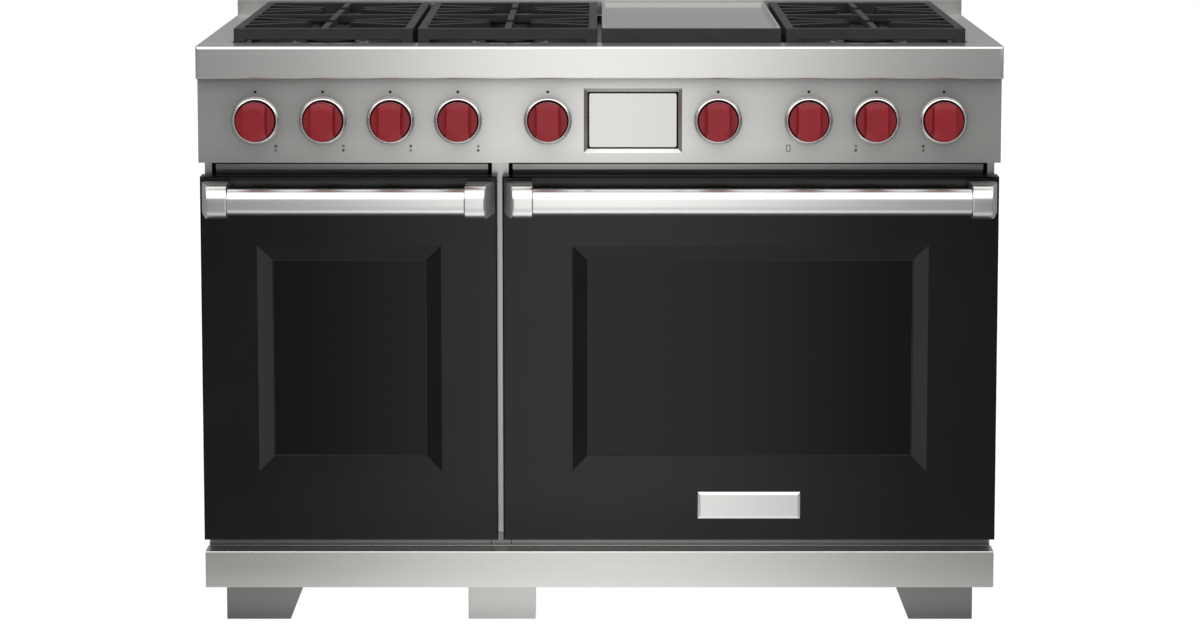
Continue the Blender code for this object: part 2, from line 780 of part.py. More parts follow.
def make_control_panel(mats):
    outer = (-HALF_FRONT, HALF_FRONT, PANEL_LOW, PANEL_HIGH - GAP)
    t = SKIN
    inner = (-HALF_FRONT + t, HALF_FRONT - t, PANEL_LOW + t, PANEL_HIGH - GAP - t)
    face = back(PANEL_FACE)
    rear = back(FRAME_FACE - GAP)
    loops = [(*outer, face), (*outer, rear), (*inner, rear), (*inner, face + t)]
    panel = loops_solid("control_panel", loops, "Y", mats["steel"])
    half_x = PLATE_WIDE / 2 + OPENING_SIDE
    half_z = PLATE_HIGH / 2 + OPENING_HIGH
    rim = box("rim", (DISPLAY_X - half_x - RIM_WIDE, face + t / 2, KNOB_LEVEL - half_z - RIM_HIGH),
              (DISPLAY_X + half_x + RIM_WIDE, face + RIM_DEEP, KNOB_LEVEL + half_z + RIM_HIGH))
    join(panel, rim)
    cut(panel, display_cutter(half_x, half_z, face))
    cut(panel, trunnion(half_x - OPENING_SIDE / 2, TRUNNION_RADIUS + RUN_GAP,
                        TRUNNION_LENGTH + TRUNNION_END_GAP - OPENING_SIDE / 2))
    for _, x in knob_spots():
        hole = [(PANEL_HOLE, -t * 2), (PANEL_HOLE, t * 2)]
        cut(panel, lathe("hole", hole, (x, face, KNOB_LEVEL), "Y", None, SMALL_ROUND))


def display_cutter(half_x, half_z, face):
    """The opening for the turning plate with its bevelled mouth."""
    out = PLATE_SINK
    ahead = SKIN
    grow = (out + ahead) / out
    wide = (half_x + BEVEL_SIDE * grow, half_z + BEVEL_HIGH * grow)
    loops = [
        (DISPLAY_X - wide[0], DISPLAY_X + wide[0], KNOB_LEVEL - wide[1], KNOB_LEVEL + wide[1],
         face - ahead),
        (DISPLAY_X - half_x, DISPLAY_X + half_x, KNOB_LEVEL - half_z, KNOB_LEVEL + half_z,
         face + out),
        (DISPLAY_X - half_x, DISPLAY_X + half_x, KNOB_LEVEL - half_z, KNOB_LEVEL + half_z,
         face + RIM_DEEP + ahead),
    ]
    return loops_solid("opening", loops, "Y")


def display_axis():
    return back(PANEL_FACE + PLATE_SINK + PLATE_THICK / 2), KNOB_LEVEL


def trunnion(start, radius, length):
    """One rod right through the plate and out of both its ends."""
    y, z = display_axis()
    reach = start + length
    return lathe("trunnion", [(radius, -reach), (radius, reach)], (DISPLAY_X, y, z), "X",
                 None, SMALL_ROUND)


def rounded_outline(half_x, half_z, corner, steps=4):
    points = []
    centres = ((1, 1, 0), (-1, 1, 1), (-1, -1, 2), (1, -1, 3))
    for sx, sz, quarter in centres:
        for k in range(steps + 1):
            turn = math.pi / 2 * (quarter + k / steps)
            x = sx * (half_x - corner) + corner * math.cos(turn)
            z = sz * (half_z - corner) + corner * math.sin(turn)
            points.append((x, z))
    return points


def rounded_plate(name, half_x, half_z, corner, y0, y1, material=None):
    bm = bmesh.new()
    rings = []
    for y in (y0, y1):
        outline = rounded_outline(half_x, half_z, corner)
        rings.append([bm.verts.new((DISPLAY_X + x, y, KNOB_LEVEL + z)) for x, z in outline])
    skin_rings(bm, rings, False)
    return finish(name, bm, material)


def make_display(mats):
    y, z = display_axis()
    half = PLATE_THICK / 2
    plate = rounded_plate("display_panel", PLATE_WIDE / 2, PLATE_HIGH / 2, PLATE_CORNER,
                          y - half, y + half, mats["steel"])
    join(plate, trunnion(PLATE_WIDE / 2, TRUNNION_RADIUS, TRUNNION_LENGTH))
    set_origin(plate, (DISPLAY_X, y, z))
    low = y + half + GAP
    glass = rounded_plate("display_glass", PLATE_WIDE / 2 - SCREEN_EDGE,
                          PLATE_HIGH / 2 - SCREEN_EDGE, PLATE_CORNER,
                          low, low + SCREEN_THICK, mats["dark_glass"])
    set_origin(glass, (DISPLAY_X, y, z))


def make_knobs(mats):
    face = back(PANEL_FACE)
    nose = face - KNOB_PROUD
    rear = face - KNOB_CLEAR
    for name, x in knob_spots():
        profile = [
            (KNOB_NOSE, nose),
            (KNOB_NOSE + KNOB_CHAMFER / 2, nose + KNOB_CHAMFER),
            (KNOB_RADIUS, rear),
            (STEM_RADIUS, rear),
            (STEM_RADIUS, back(STEM_END)),
        ]
        knob = lathe(name, profile, (x, 0.0, KNOB_LEVEL), "Y", mats["red_knob"])
        wide = KNOB_RADIUS * 1.2
        for sign in (-1, 1):
            near = x + sign * KNOB_GRIP / 2
            far = x + sign * wide
            edges = sorted((near, far))
            cut(knob, box("side", (edges[0], nose - KNOB_CLEAR, KNOB_LEVEL - wide),
                          (edges[1], rear - KNOB_SKIRT, KNOB_LEVEL + wide)))
        set_origin(knob, (x, rear, KNOB_LEVEL))


def make_manifold(mats):
    x1, z = supply_spot()
    tube_y = back(VALVE_BACK) - TUBE_RADIUS
    first = min(gas_knob_places()) - VALVE_HALF * 2
    manifold = lathe("gas_manifold", [(TUBE_RADIUS, first), (TUBE_RADIUS, x1)],
                     (0.0, tube_y, z), "X", mats["aluminium"], SMALL_ROUND)
    supply = [(SUPPLY_RADIUS, tube_y), (SUPPLY_RADIUS, back(BACK_FACE))]
    join(manifold, lathe("supply", supply, (x1, 0.0, z), "Y", None, SMALL_ROUND))
    for x in gas_knob_places():
        valve = box("valve", (x - VALVE_HALF, back(VALVE_FRONT), z - TUBE_RADIUS * 1.1),
                    (x + VALVE_HALF, tube_y, KNOB_LEVEL + VALVE_ABOVE))
        join(manifold, valve)
        bore = [(STEM_RADIUS + RUN_GAP, back(VALVE_FRONT) - SKIN),
                (STEM_RADIUS + RUN_GAP, back(VALVE_FRONT) + VALVE_BORE_DEEP)]
        cut(manifold, lathe("bore", bore, (x, 0.0, KNOB_LEVEL), "Y", None, SMALL_ROUND))


# ---------------------------------------------------------------- ovens
def ledge_levels(side):
    _, _, z0, z1 = cavity_box(side)
    return [z0 + (z1 - z0) * share for share in LEDGE_SHARES]


def make_cavity(side, mats):
    x0, x1, z0, z1 = cavity_box(side)
    t = SHEET
    front = back(FRAME_BACK + GAP)
    rear = front + CAVITY_DEPTH
    loops = [
        (x0 - t, x1 + t, z0 - t, z1 + t, rear + t),
        (x0 - t, x1 + t, z0 - t, z1 + t, front),
        (x0, x1, z0, z1, front),
        (x0, x1, z0, z1, rear),
    ]
    cavity = loops_solid(f"{side}_oven_cavity", loops, "Y", mats["oven_enamel"])
    for level in ledge_levels(side):
        for lx0, lx1 in ((x0 - t / 2, x0 + LEDGE_WIDE), (x1 - LEDGE_WIDE, x1 + t / 2)):
            join(cavity, box("ledge", (lx0, front + LEDGE_INSET, level - LEDGE_HIGH),
                             (lx1, rear - LEDGE_INSET, level)))


def make_rack(side, mats):
    x0, x1, _, _ = cavity_box(side)
    x0 += RACK_SIDE_GAP
    x1 -= RACK_SIDE_GAP
    y0 = back(FRAME_BACK) + RACK_FRONT_GAP
    y1 = y0 + RACK_DEPTH
    low = ledge_levels(side)[RACK_LEDGE] + GAP
    count = int(round((x1 - x0 - 2 * RACK_RIM) / RACK_PITCH))
    pitch = (x1 - x0 - 2 * RACK_RIM + RACK_BAR) / count
    across = [x0]
    for k in range(count):
        start = x0 + RACK_RIM + k * pitch
        across += [start, start + pitch - RACK_BAR]
    across.append(x1)
    along = [y0, y0 + RACK_RIM, (y0 + y1) / 2 - RACK_BAR / 2, (y0 + y1) / 2 + RACK_BAR / 2,
             y1 - RACK_RIM, y1]
    grid_plate(f"{side}_oven_rack", across, along,
               lambda i, j: i % 2 == 0 or j % 2 == 0, low, low + RACK_THICK, "Z",
               mats["rack_wire"])


def make_seal(side, mats):
    x0, x1, z0, z1 = cavity_box(side)
    m = SEAL_MARGIN
    inner = (x0 - m, x1 + m, z0 - m, z1 + m)
    w = SEAL_WIDTH
    outer = (inner[0] - w, inner[1] + w, inner[2] - w, inner[3] + w)
    y0, y1 = back(DOOR_BACK) + GAP, back(FRAME_FACE) - GAP
    loops = [(*outer, y0), (*outer, y1), (*inner, y1), (*inner, y0)]
    loops_solid(f"{side}_door_seal", loops, "Y", mats["seal_rubber"], closed=True)


# ---------------------------------------------------------------- doors
def door_parts(side):
    door = {"left": LEFT_DOOR, "right": RIGHT_DOOR}[side]
    margin = {"left": WINDOW_SIDE_LEFT, "right": WINDOW_SIDE_RIGHT}[side]
    window = (door[0] + margin, door[1] - margin, DOOR_LOW + WINDOW_LOW, DOOR_HIGH - WINDOW_HIGH)
    return door, window


def grow(rect, by):
    return rect[0] - by, rect[1] + by, rect[2] - by, rect[3] + by


def pivot():
    """y and z of both doors' hinge axis."""
    return back(DOOR_BACK - PIVOT_IN), DOOR_LOW + PIVOT_UP


def hinge_places(side):
    door, _ = door_parts(side)
    return [door[0] + HINGE_INSET, door[1] - HINGE_INSET]


def slot_cutter(x):
    """Clear space for a hinge arm, from the closed to the open door."""
    y, z = pivot()
    half = ARM_THICK / 2 + SLOT_SIDE
    reach = ARM_HALF + SLOT_REACH
    return box("slot", (x - half, y - reach, DOOR_LOW - reach),
               (x + half, back(DOOR_BACK) + reach, z + reach))


def make_door_panel(side, mats):
    door, window = door_parts(side)
    rect = (*door, DOOR_LOW, DOOR_HIGH)
    t = SKIN
    c = DOOR_CHAMFER
    face = back(DOOR_FACE)
    rear = back(DOOR_BACK) - GAP
    bevel = grow(window, WINDOW_BEVEL)
    loops = [
        (*rect, rear),
        (*rect, face + c),
        (*grow(rect, -c), face),
        (*bevel, face),
        (*window, face + WINDOW_SINK),
        (*window, face + WINDOW_SINK + t),
        (*bevel, face + t),
        (*grow(rect, -t), face + t),
        (*grow(rect, -t), rear),
    ]
    panel = loops_solid(f"{side}_door_panel", loops, "Y", mats["black_enamel"], closed=True)
    for x in hinge_places(side):
        cut(panel, slot_cutter(x))
    set_origin(panel, (sum(door) / 2, *pivot()))


def make_window_glass(side, mats):
    _, window = door_parts(side)
    wide = grow(window, GLASS_LAP)
    y0 = back(DOOR_FACE) + WINDOW_SINK + SKIN + GAP
    glass = box(f"{side}_window_glass", (wide[0], y0, wide[2]),
                (wide[1], y0 + GLASS_THICK, wide[3]), mats["dark_glass"])
    set_origin(glass, ((wide[0] + wide[1]) / 2, *pivot()))


def make_inner_panel(side, mats):
    door, window = door_parts(side)
    rect = grow((*door, DOOR_LOW, DOOR_HIGH), -(SKIN + GAP))
    t = SHEET
    rear = back(DOOR_BACK)
    rim = rear - INNER_RIM
    tip = back(DOOR_FACE) + WINDOW_SINK + SKIN + GAP * 2 + GLASS_THICK
    tunnel = grow(window, TUNNEL_LAP)
    loops = [
        (*rect, rear),
        (*rect, rim),
        (*grow(rect, -t), rim),
        (*grow(rect, -t), rear - t),
        (*grow(tunnel, t), rear - t),
        (*grow(tunnel, t), tip),
        (*tunnel, tip),
        (*tunnel, rear),
    ]
    panel = loops_solid(f"{side}_door_inner_panel", loops, "Y", mats["oven_enamel"], closed=True)
    y, z = pivot()
    for x in hinge_places(side):
        block = box("receiver", (x - RECEIVER_HALF, y - RECEIVER_DEEP, rect[2] + t / 2),
                    (x + RECEIVER_HALF, rear - t / 2, z + RECEIVER_HIGH))
        join(panel, block)
        cut(panel, slot_cutter(x))
        reach = PIN_HALF_LENGTH + GAP
        bore = [(PIN_RADIUS + RUN_GAP, -reach), (PIN_RADIUS + RUN_GAP, reach)]
        cut(panel, lathe("bore", bore, (x, y, z), "X", None, SMALL_ROUND))
    set_origin(panel, (sum(door) / 2, y, z))


def make_hinges(side, mats):
    y, z = pivot()
    for label, x in zip(("left", "right"), hinge_places(side)):
        arm = box(f"{side}_door_hinge_{label}",
                  (x - ARM_THICK / 2, y, z - ARM_HALF),
                  (x + ARM_THICK / 2, back(FRAME_FACE) - GAP, z + ARM_HALF), mats["zinc_steel"])
        eye = [(ARM_HALF, -ARM_THICK / 2), (ARM_HALF, ARM_THICK / 2)]
        join(arm, lathe("eye", eye, (x, y, z), "X", None, SMALL_ROUND))
        pin = [(PIN_RADIUS, -PIN_HALF_LENGTH), (PIN_RADIUS, PIN_HALF_LENGTH)]
        join(arm, lathe("pin", pin, (x, y, z), "X", None, SMALL_ROUND))


def handle_axis():
    return back(DOOR_FACE - HANDLE_STANDOFF), DOOR_HIGH - HANDLE_BELOW_TOP


def bracket_profile(inset):
    """Side view of a handle bracket: flat top and bottom, round front."""
    y, z = handle_axis()
    r = BRACKET_RADIUS - inset
    root = back(DOOR_FACE) - GAP
    points = [(root, z + r)]
    for k in range(BRACKET_ARC + 1):
        turn = math.pi / 2 + math.pi * k / BRACKET_ARC
        points.append((y + r * math.cos(turn), z + r * math.sin(turn)))
    points.append((root, z - r))
    return points


def make_bracket(name, inner_x, outer_x, mats):
    """A cast bracket whose outer end is rounded over."""
    sign = 1 if outer_x > inner_x else -1
    bm = bmesh.new()
    stations = [(inner_x, 0.0)]
    for k in range(BRACKET_STEPS + 1):
        turn = math.pi / 2 * k / BRACKET_STEPS
        x = outer_x - sign * BRACKET_ROUND * (1 - math.sin(turn))
        stations.append((x, BRACKET_ROUND * (1 - math.cos(turn))))
    rings = [[bm.verts.new((x, y, z)) for y, z in bracket_profile(inset)]
             for x, inset in stations]
    skin_rings(bm, rings, False)
    return finish(name, bm, mats["handle_steel"])


def make_handle(side, mats):
    door, _ = door_parts(side)
    left = door[0] + BRACKET_EDGE
    right = door[1] - BRACKET_EDGE
    a = left + BRACKET_WIDTH
    b = right - BRACKET_WIDTH
    hinge = (sum(door) / 2, *pivot())
    pieces = [
        make_bracket(f"{side}_handle_bracket_left", a, left, mats),
        make_bracket(f"{side}_handle_bracket_right", b, right, mats),
    ]
    y, z = handle_axis()
    bar_tube = tube(f"{side}_handle_bar", BAR_RADIUS, BAR_RADIUS - BAR_WALL, a + GAP, b - GAP,
                    (0.0, y, z), "X", mats["handle_steel"])
    smooth(bar_tube)
    pieces.append(bar_tube)
    for piece in pieces:
        set_origin(piece, hinge)


def make_door(side, mats):
    make_door_panel(side, mats)
    make_window_glass(side, mats)
    make_inner_panel(side, mats)
    make_hinges(side, mats)
    make_handle(side, mats)


def main():
    clear_scene()
    mats = make_materials()
    make_front_frame(mats)
    make_side_panel("left_side_panel", -1, mats)
    make_side_panel("right_side_panel", 1, mats)
    make_back_panel(mats)
    make_base_pan(mats)
    make_base_trim(mats)
    make_legs(mats)
    make_bullnose(mats)
    make_island_trim(mats)
    make_cooktop_pan(mats)
    make_burner_caps(mats)
    make_grate("grate_left", 0, mats)
    make_grate("grate_middle", 1, mats)
    make_grate("grate_right", 3, mats)
    make_griddle(mats)
    make_drip_tray(mats)
    make_control_panel(mats)
    make_display(mats)
    make_knobs(mats)
    make_manifold(mats)
    for side in ("left", "right"):
        make_cavity(side, mats)
        make_rack(side, mats)
        make_seal(side, mats)
        make_door(side, mats)


main()
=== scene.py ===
"""Looks of the freestanding gas range: materials, small parts, light and camera.

Metres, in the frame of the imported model: +X right, -Y front, +Z up.
"""
import json
import math

import bmesh
import bpy
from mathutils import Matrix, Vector


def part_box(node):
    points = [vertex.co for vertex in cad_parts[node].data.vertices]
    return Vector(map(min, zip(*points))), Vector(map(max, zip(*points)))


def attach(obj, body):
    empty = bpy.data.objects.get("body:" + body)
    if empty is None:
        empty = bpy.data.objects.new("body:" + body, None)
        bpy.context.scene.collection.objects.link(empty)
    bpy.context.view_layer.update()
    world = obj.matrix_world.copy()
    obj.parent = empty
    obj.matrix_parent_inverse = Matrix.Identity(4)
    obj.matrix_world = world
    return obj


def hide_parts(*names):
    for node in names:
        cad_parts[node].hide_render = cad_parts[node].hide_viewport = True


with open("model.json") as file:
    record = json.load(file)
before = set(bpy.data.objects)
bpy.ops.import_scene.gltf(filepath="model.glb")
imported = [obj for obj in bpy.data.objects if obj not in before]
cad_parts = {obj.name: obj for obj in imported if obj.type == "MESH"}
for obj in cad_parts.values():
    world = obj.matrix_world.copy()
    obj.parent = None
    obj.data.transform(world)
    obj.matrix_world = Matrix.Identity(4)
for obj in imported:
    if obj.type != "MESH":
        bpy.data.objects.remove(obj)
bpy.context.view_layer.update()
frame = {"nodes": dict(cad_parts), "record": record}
NODES = frame["nodes"]

# ---- places shared with the solids
ORIGIN_DEPTH = 0.35575
WIDTH = 1.216
HALF = WIDTH / 2
PANEL_FACE = 0.019
DOOR_FACE = 0.045
DOOR_BACK = 0.085
FRAME_FACE = 0.092
KNOB_LEVEL = 0.7885
DISPLAY_X = 0.0505
DECK = 0.902
KNOBS = [
    "knob_front_left", "knob_rear_left", "knob_front_middle", "knob_rear_middle",
    "knob_left_oven", "knob_right_oven", "knob_griddle", "knob_rear_right", "knob_front_right",
]
SIDES = ("left", "right")


def back(depth):
    """World Y of a depth behind the bullnose front."""
    return depth - ORIGIN_DEPTH


def post_middle():
    """X of the post between the doors."""
    return (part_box("left_door_panel")[1].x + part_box("right_door_panel")[0].x) / 2


def middle(node):
    low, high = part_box(node)
    return (low + high) / 2


# ---------------------------------------------------------------- node helpers
class Shader:
    """A material with a Principled shader and short ways to add nodes."""

    def __init__(self, name, colour, metallic=0.0, roughness=0.5, **sockets):
        self.material = bpy.data.materials.new(name)
        self.material.use_nodes = True
        self.tree = self.material.node_tree
        self.main = self.tree.nodes["Principled BSDF"]
        self.set("Base Color", (*colour, 1.0))
        self.set("Metallic", metallic)
        self.set("Roughness", roughness)
        for key, value in sockets.items():
            self.set(key.replace("_", " "), value)
        self.coords = None

    def set(self, socket, value):
        self.main.inputs[socket].default_value = value

    def node(self, kind, **settings):
        made = self.tree.nodes.new(kind)
        for key, value in settings.items():
            setattr(made, key, value)
        return made

    def link(self, start, end):
        self.tree.links.new(start, end)

    def place(self, scale):
        """Object coordinates, scaled along each axis."""
        if self.coords is None:
            self.coords = self.node("ShaderNodeTexCoord")
        mapping = self.node("ShaderNodeMapping")
        mapping.inputs["Scale"].default_value = scale
        self.link(self.coords.outputs["Object"], mapping.inputs["Vector"])
        return mapping.outputs["Vector"]

    def noise(self, scale, detail=2.0, rough=0.5):
        made = self.node("ShaderNodeTexNoise")
        made.inputs["Scale"].default_value = 1.0
        made.inputs["Detail"].default_value = detail
        made.inputs["Roughness"].default_value = rough
        self.link(self.place(scale), made.inputs["Vector"])
        return made.outputs["Fac"]

    def voronoi(self, scale, feature="F1"):
        made = self.node("ShaderNodeTexVoronoi", feature=feature)
        made.inputs["Scale"].default_value = 1.0
        self.link(self.place(scale), made.inputs["Vector"])
        return made

    def remap(self, value, low, high, start=0.3, stop=0.7):
        made = self.node("ShaderNodeMapRange")
        made.inputs["From Min"].default_value = start
        made.inputs["From Max"].default_value = stop
        made.inputs["To Min"].default_value = low
        made.inputs["To Max"].default_value = high
        self.link(value, made.inputs["Value"])
        return made.outputs["Result"]

    def math(self, operation, a, b):
        made = self.node("ShaderNodeMath", operation=operation)
        for socket, value in zip(made.inputs, (a, b)):
            if isinstance(value, (int, float)):
                socket.default_value = value
            else:
                self.link(value, socket)
        return made.outputs["Value"]

    def tint(self, value, dark, light):
        """Mix two colours by a value and use it as the base colour."""
        made = self.node("ShaderNodeMix", data_type="RGBA")
        made.inputs["A"].default_value = (*dark, 1.0)
        made.inputs["B"].default_value = (*light, 1.0)
        self.link(value, made.inputs["Factor"])
        self.link(made.outputs["Result"], self.main.inputs["Base Color"])
        return made

    def rough(self, value):
        self.link(value, self.main.inputs["Roughness"])

    def bump(self, value, strength, distance):
        made = self.node("ShaderNodeBump")
        made.inputs["Strength"].default_value = strength
        made.inputs["Distance"].default_value = distance
        self.link(value, made.inputs["Height"])
        self.link(made.outputs["Normal"], self.main.inputs["Normal"])


# ---------------------------------------------------------------- materials
def brushed(name, colour, roughness, grain="X", spread=0.014, depth=0.018):
    """Brushed steel with its grain along one axis."""
    made = Shader(name, colour, 1.0, roughness)
    fine = tuple(5.0 if axis == grain else 1400.0 for axis in "XYZ")
    coarse = tuple(1.6 if axis == grain else 160.0 for axis in "XYZ")
    fine_noise = made.noise(fine, 3.0, 0.6)
    coarse_noise = made.noise(coarse, 2.0, 0.5)
    both = made.math("ADD", made.math("MULTIPLY", fine_noise, 0.75),
                     made.math("MULTIPLY", coarse_noise, 0.25))
    smudge = made.noise((3.0, 3.0, 3.0), 3.0, 0.6)
    dark = tuple(c * (1.0 - spread) for c in colour)
    light = tuple(min(c * (1.0 + spread), 1.0) for c in colour)
    made.tint(made.remap(both, 0.0, 1.0, 0.35, 0.65), dark, light)
    grainy = made.remap(both, roughness - 0.018, roughness + 0.018, 0.35, 0.65)
    made.rough(made.math("ADD", grainy, made.remap(smudge, -0.01, 0.015)))
    made.bump(both, depth, 0.0004)
    return made.material


def enamel(name, colour, roughness, specular):
    """Gloss black enamel with a faint orange peel and cloudy polish."""
    made = Shader(name, colour, 0.0, roughness)
    made.set("Specular IOR Level", specular)
    peel = made.noise((420.0, 420.0, 420.0), 2.0, 0.5)
    cloud = made.noise((7.0, 7.0, 7.0), 4.0, 0.6)
    dark = tuple(c * 0.8 for c in colour)
    light = tuple(c * 1.25 for c in colour)
    made.tint(made.remap(cloud, 0.0, 1.0), dark, light)
    polish = made.remap(cloud, roughness - 0.03, roughness + 0.04)
    made.coords = made.coords or made.node("ShaderNodeTexCoord")
    facing = made.node("ShaderNodeSeparateXYZ")
    made.link(made.coords.outputs["Normal"], facing.inputs["Vector"])
    dusty = made.remap(facing.outputs["Z"], 0.0, 0.20, 0.6, 0.95)
    made.rough(made.math("ADD", polish, dusty))
    made.bump(peel, 0.05, 0.0002)
    return made.material


def speckled(name, colour, speck, roughness):
    """Porcelain enamel with fine pale specks."""
    made = Shader(name, colour, 0.0, roughness)
    cells = made.voronoi((260.0, 260.0, 260.0))
    dots = made.remap(cells.outputs["Distance"], 1.0, 0.0, 0.10, 0.20)
    some = made.remap(made.noise((90.0, 90.0, 90.0), 2.0), 0.0, 1.0, 0.48, 0.56)
    made.tint(made.math("MULTIPLY", dots, some), colour, speck)
    cloud = made.noise((9.0, 9.0, 9.0), 4.0)
    made.rough(made.remap(cloud, roughness - 0.05, roughness + 0.08))
    made.bump(made.noise((350.0, 350.0, 350.0)), 0.12, 0.0003)
    return made.material


def cast_iron(name, colour, roughness):
    made = Shader(name, colour, 0.0, roughness)
    made.set("Specular IOR Level", 0.35)
    grain = made.noise((700.0, 700.0, 700.0), 4.0, 0.7)
    cloud = made.noise((30.0, 30.0, 30.0), 4.0, 0.65)
    made.tint(made.remap(cloud, 0.0, 1.0), tuple(c * 0.7 for c in colour),
              tuple(c * 1.6 for c in colour))
    made.rough(made.remap(cloud, roughness - 0.08, roughness + 0.12))
    made.bump(grain, 0.35, 0.0006)
    return made.material


def plain(name, colour, metallic, roughness, scale=500.0, depth=0.1, spread=0.12, shine=0.5):
    """A fine-grained surface: small colour, roughness and height variation."""
    made = Shader(name, colour, metallic, roughness)
    made.set("Specular IOR Level", shine)
    grain = made.noise((scale, scale, scale), 3.0, 0.6)
    cloud = made.noise((14.0, 14.0, 14.0), 4.0, 0.6)
    made.tint(made.remap(cloud, 0.0, 1.0), tuple(c * (1 - spread) for c in colour),
              tuple(min(c * (1 + spread), 1.0) for c in colour))
    made.rough(made.remap(grain, roughness - 0.05, roughness + 0.06))
    made.bump(grain, depth, 0.0003)
    return made.material


def spangled(name):
    """Galvanised sheet with large crystal spangles."""
    made = Shader(name, (0.42, 0.43, 0.44), 1.0, 0.45)
    cells = made.voronoi((85.0, 85.0, 85.0))
    made.tint(made.remap(cells.outputs["Color"], 0.0, 1.0, 0.0, 1.0), (0.34, 0.35, 0.36),
              (0.50, 0.51, 0.52))
    made.rough(made.remap(cells.outputs["Color"], 0.36, 0.55, 0.0, 1.0))
    made.bump(made.noise((300.0, 300.0, 300.0)), 0.05, 0.0003)
    return made.material


def cooktop(name, well_level):
    """Brushed steel deck whose sunken wells are gloss black enamel."""
    material = brushed(name, (0.60, 0.595, 0.58), 0.30, grain="X")
    tree = material.node_tree
    steel = tree.nodes["Principled BSDF"]
    black = tree.nodes.new("ShaderNodeBsdfPrincipled")
    black.inputs["Base Color"].default_value = (0.006, 0.006, 0.006, 1.0)
    black.inputs["Roughness"].default_value = 0.22
    black.inputs["Specular IOR Level"].default_value = 0.4
    coords = tree.nodes.new("ShaderNodeTexCoord")
    split = tree.nodes.new("ShaderNodeSeparateXYZ")
    speck = tree.nodes.new("ShaderNodeTexNoise")
    speck.inputs["Scale"].default_value = 300.0
    relief = tree.nodes.new("ShaderNodeBump")
    relief.inputs["Strength"].default_value = 0.08
    relief.inputs["Distance"].default_value = 0.0003
    above = tree.nodes.new("ShaderNodeMapRange")
    above.inputs["From Min"].default_value = well_level - 0.0002
    above.inputs["From Max"].default_value = well_level
    mix = tree.nodes.new("ShaderNodeMixShader")
    tree.links.new(coords.outputs["Object"], split.inputs["Vector"])
    tree.links.new(coords.outputs["Object"], speck.inputs["Vector"])
    tree.links.new(speck.outputs["Fac"], relief.inputs["Height"])
    tree.links.new(relief.outputs["Normal"], black.inputs["Normal"])
    tree.links.new(split.outputs["Z"], above.inputs["Value"])
    tree.links.new(above.outputs["Result"], mix.inputs["Fac"])
    tree.links.new(black.outputs["BSDF"], mix.inputs[1])
    tree.links.new(steel.outputs["BSDF"], mix.inputs[2])
    tree.links.new(mix.outputs["Shader"], tree.nodes["Material Output"].inputs["Surface"])
    return material


def shade_corners(material, reach, depth):
    """Darken a material softly where other pieces stand close over it."""
    tree = material.node_tree
    main = tree.nodes["Principled BSDF"]
    link = main.inputs["Base Color"].links[0]
    near = tree.nodes.new("ShaderNodeAmbientOcclusion")
    near.samples = 8
    near.inputs["Distance"].default_value = reach
    soft = tree.nodes.new("ShaderNodeMapRange")
    soft.inputs["From Min"].default_value = 0.5
    soft.inputs["From Max"].default_value = 1.0
    soft.inputs["To Min"].default_value = 1.0 - depth
    soft.inputs["To Max"].default_value = 1.0
    mix = tree.nodes.new("ShaderNodeMix")
    mix.data_type = "RGBA"
    mix.blend_type = "MULTIPLY"
    mix.inputs["Factor"].default_value = 1.0
    tree.links.new(near.outputs["AO"], soft.inputs["Value"])
    tree.links.new(link.from_socket, mix.inputs["A"])
    tree.links.new(soft.outputs["Result"], mix.inputs["B"])
    tree.links.new(mix.outputs["Result"], main.inputs["Base Color"])


def dark_glass(name):
    made = Shader(name, (0.0006, 0.0006, 0.0007), 0.0, 0.03)
    made.set("Specular IOR Level", 0.27)
    smear = made.noise((5.0, 5.0, 14.0), 4.0, 0.6)
    made.rough(made.remap(smear, 0.015, 0.06))
    made.bump(made.noise((12.0, 12.0, 12.0)), 0.02, 0.0005)
    return made.material


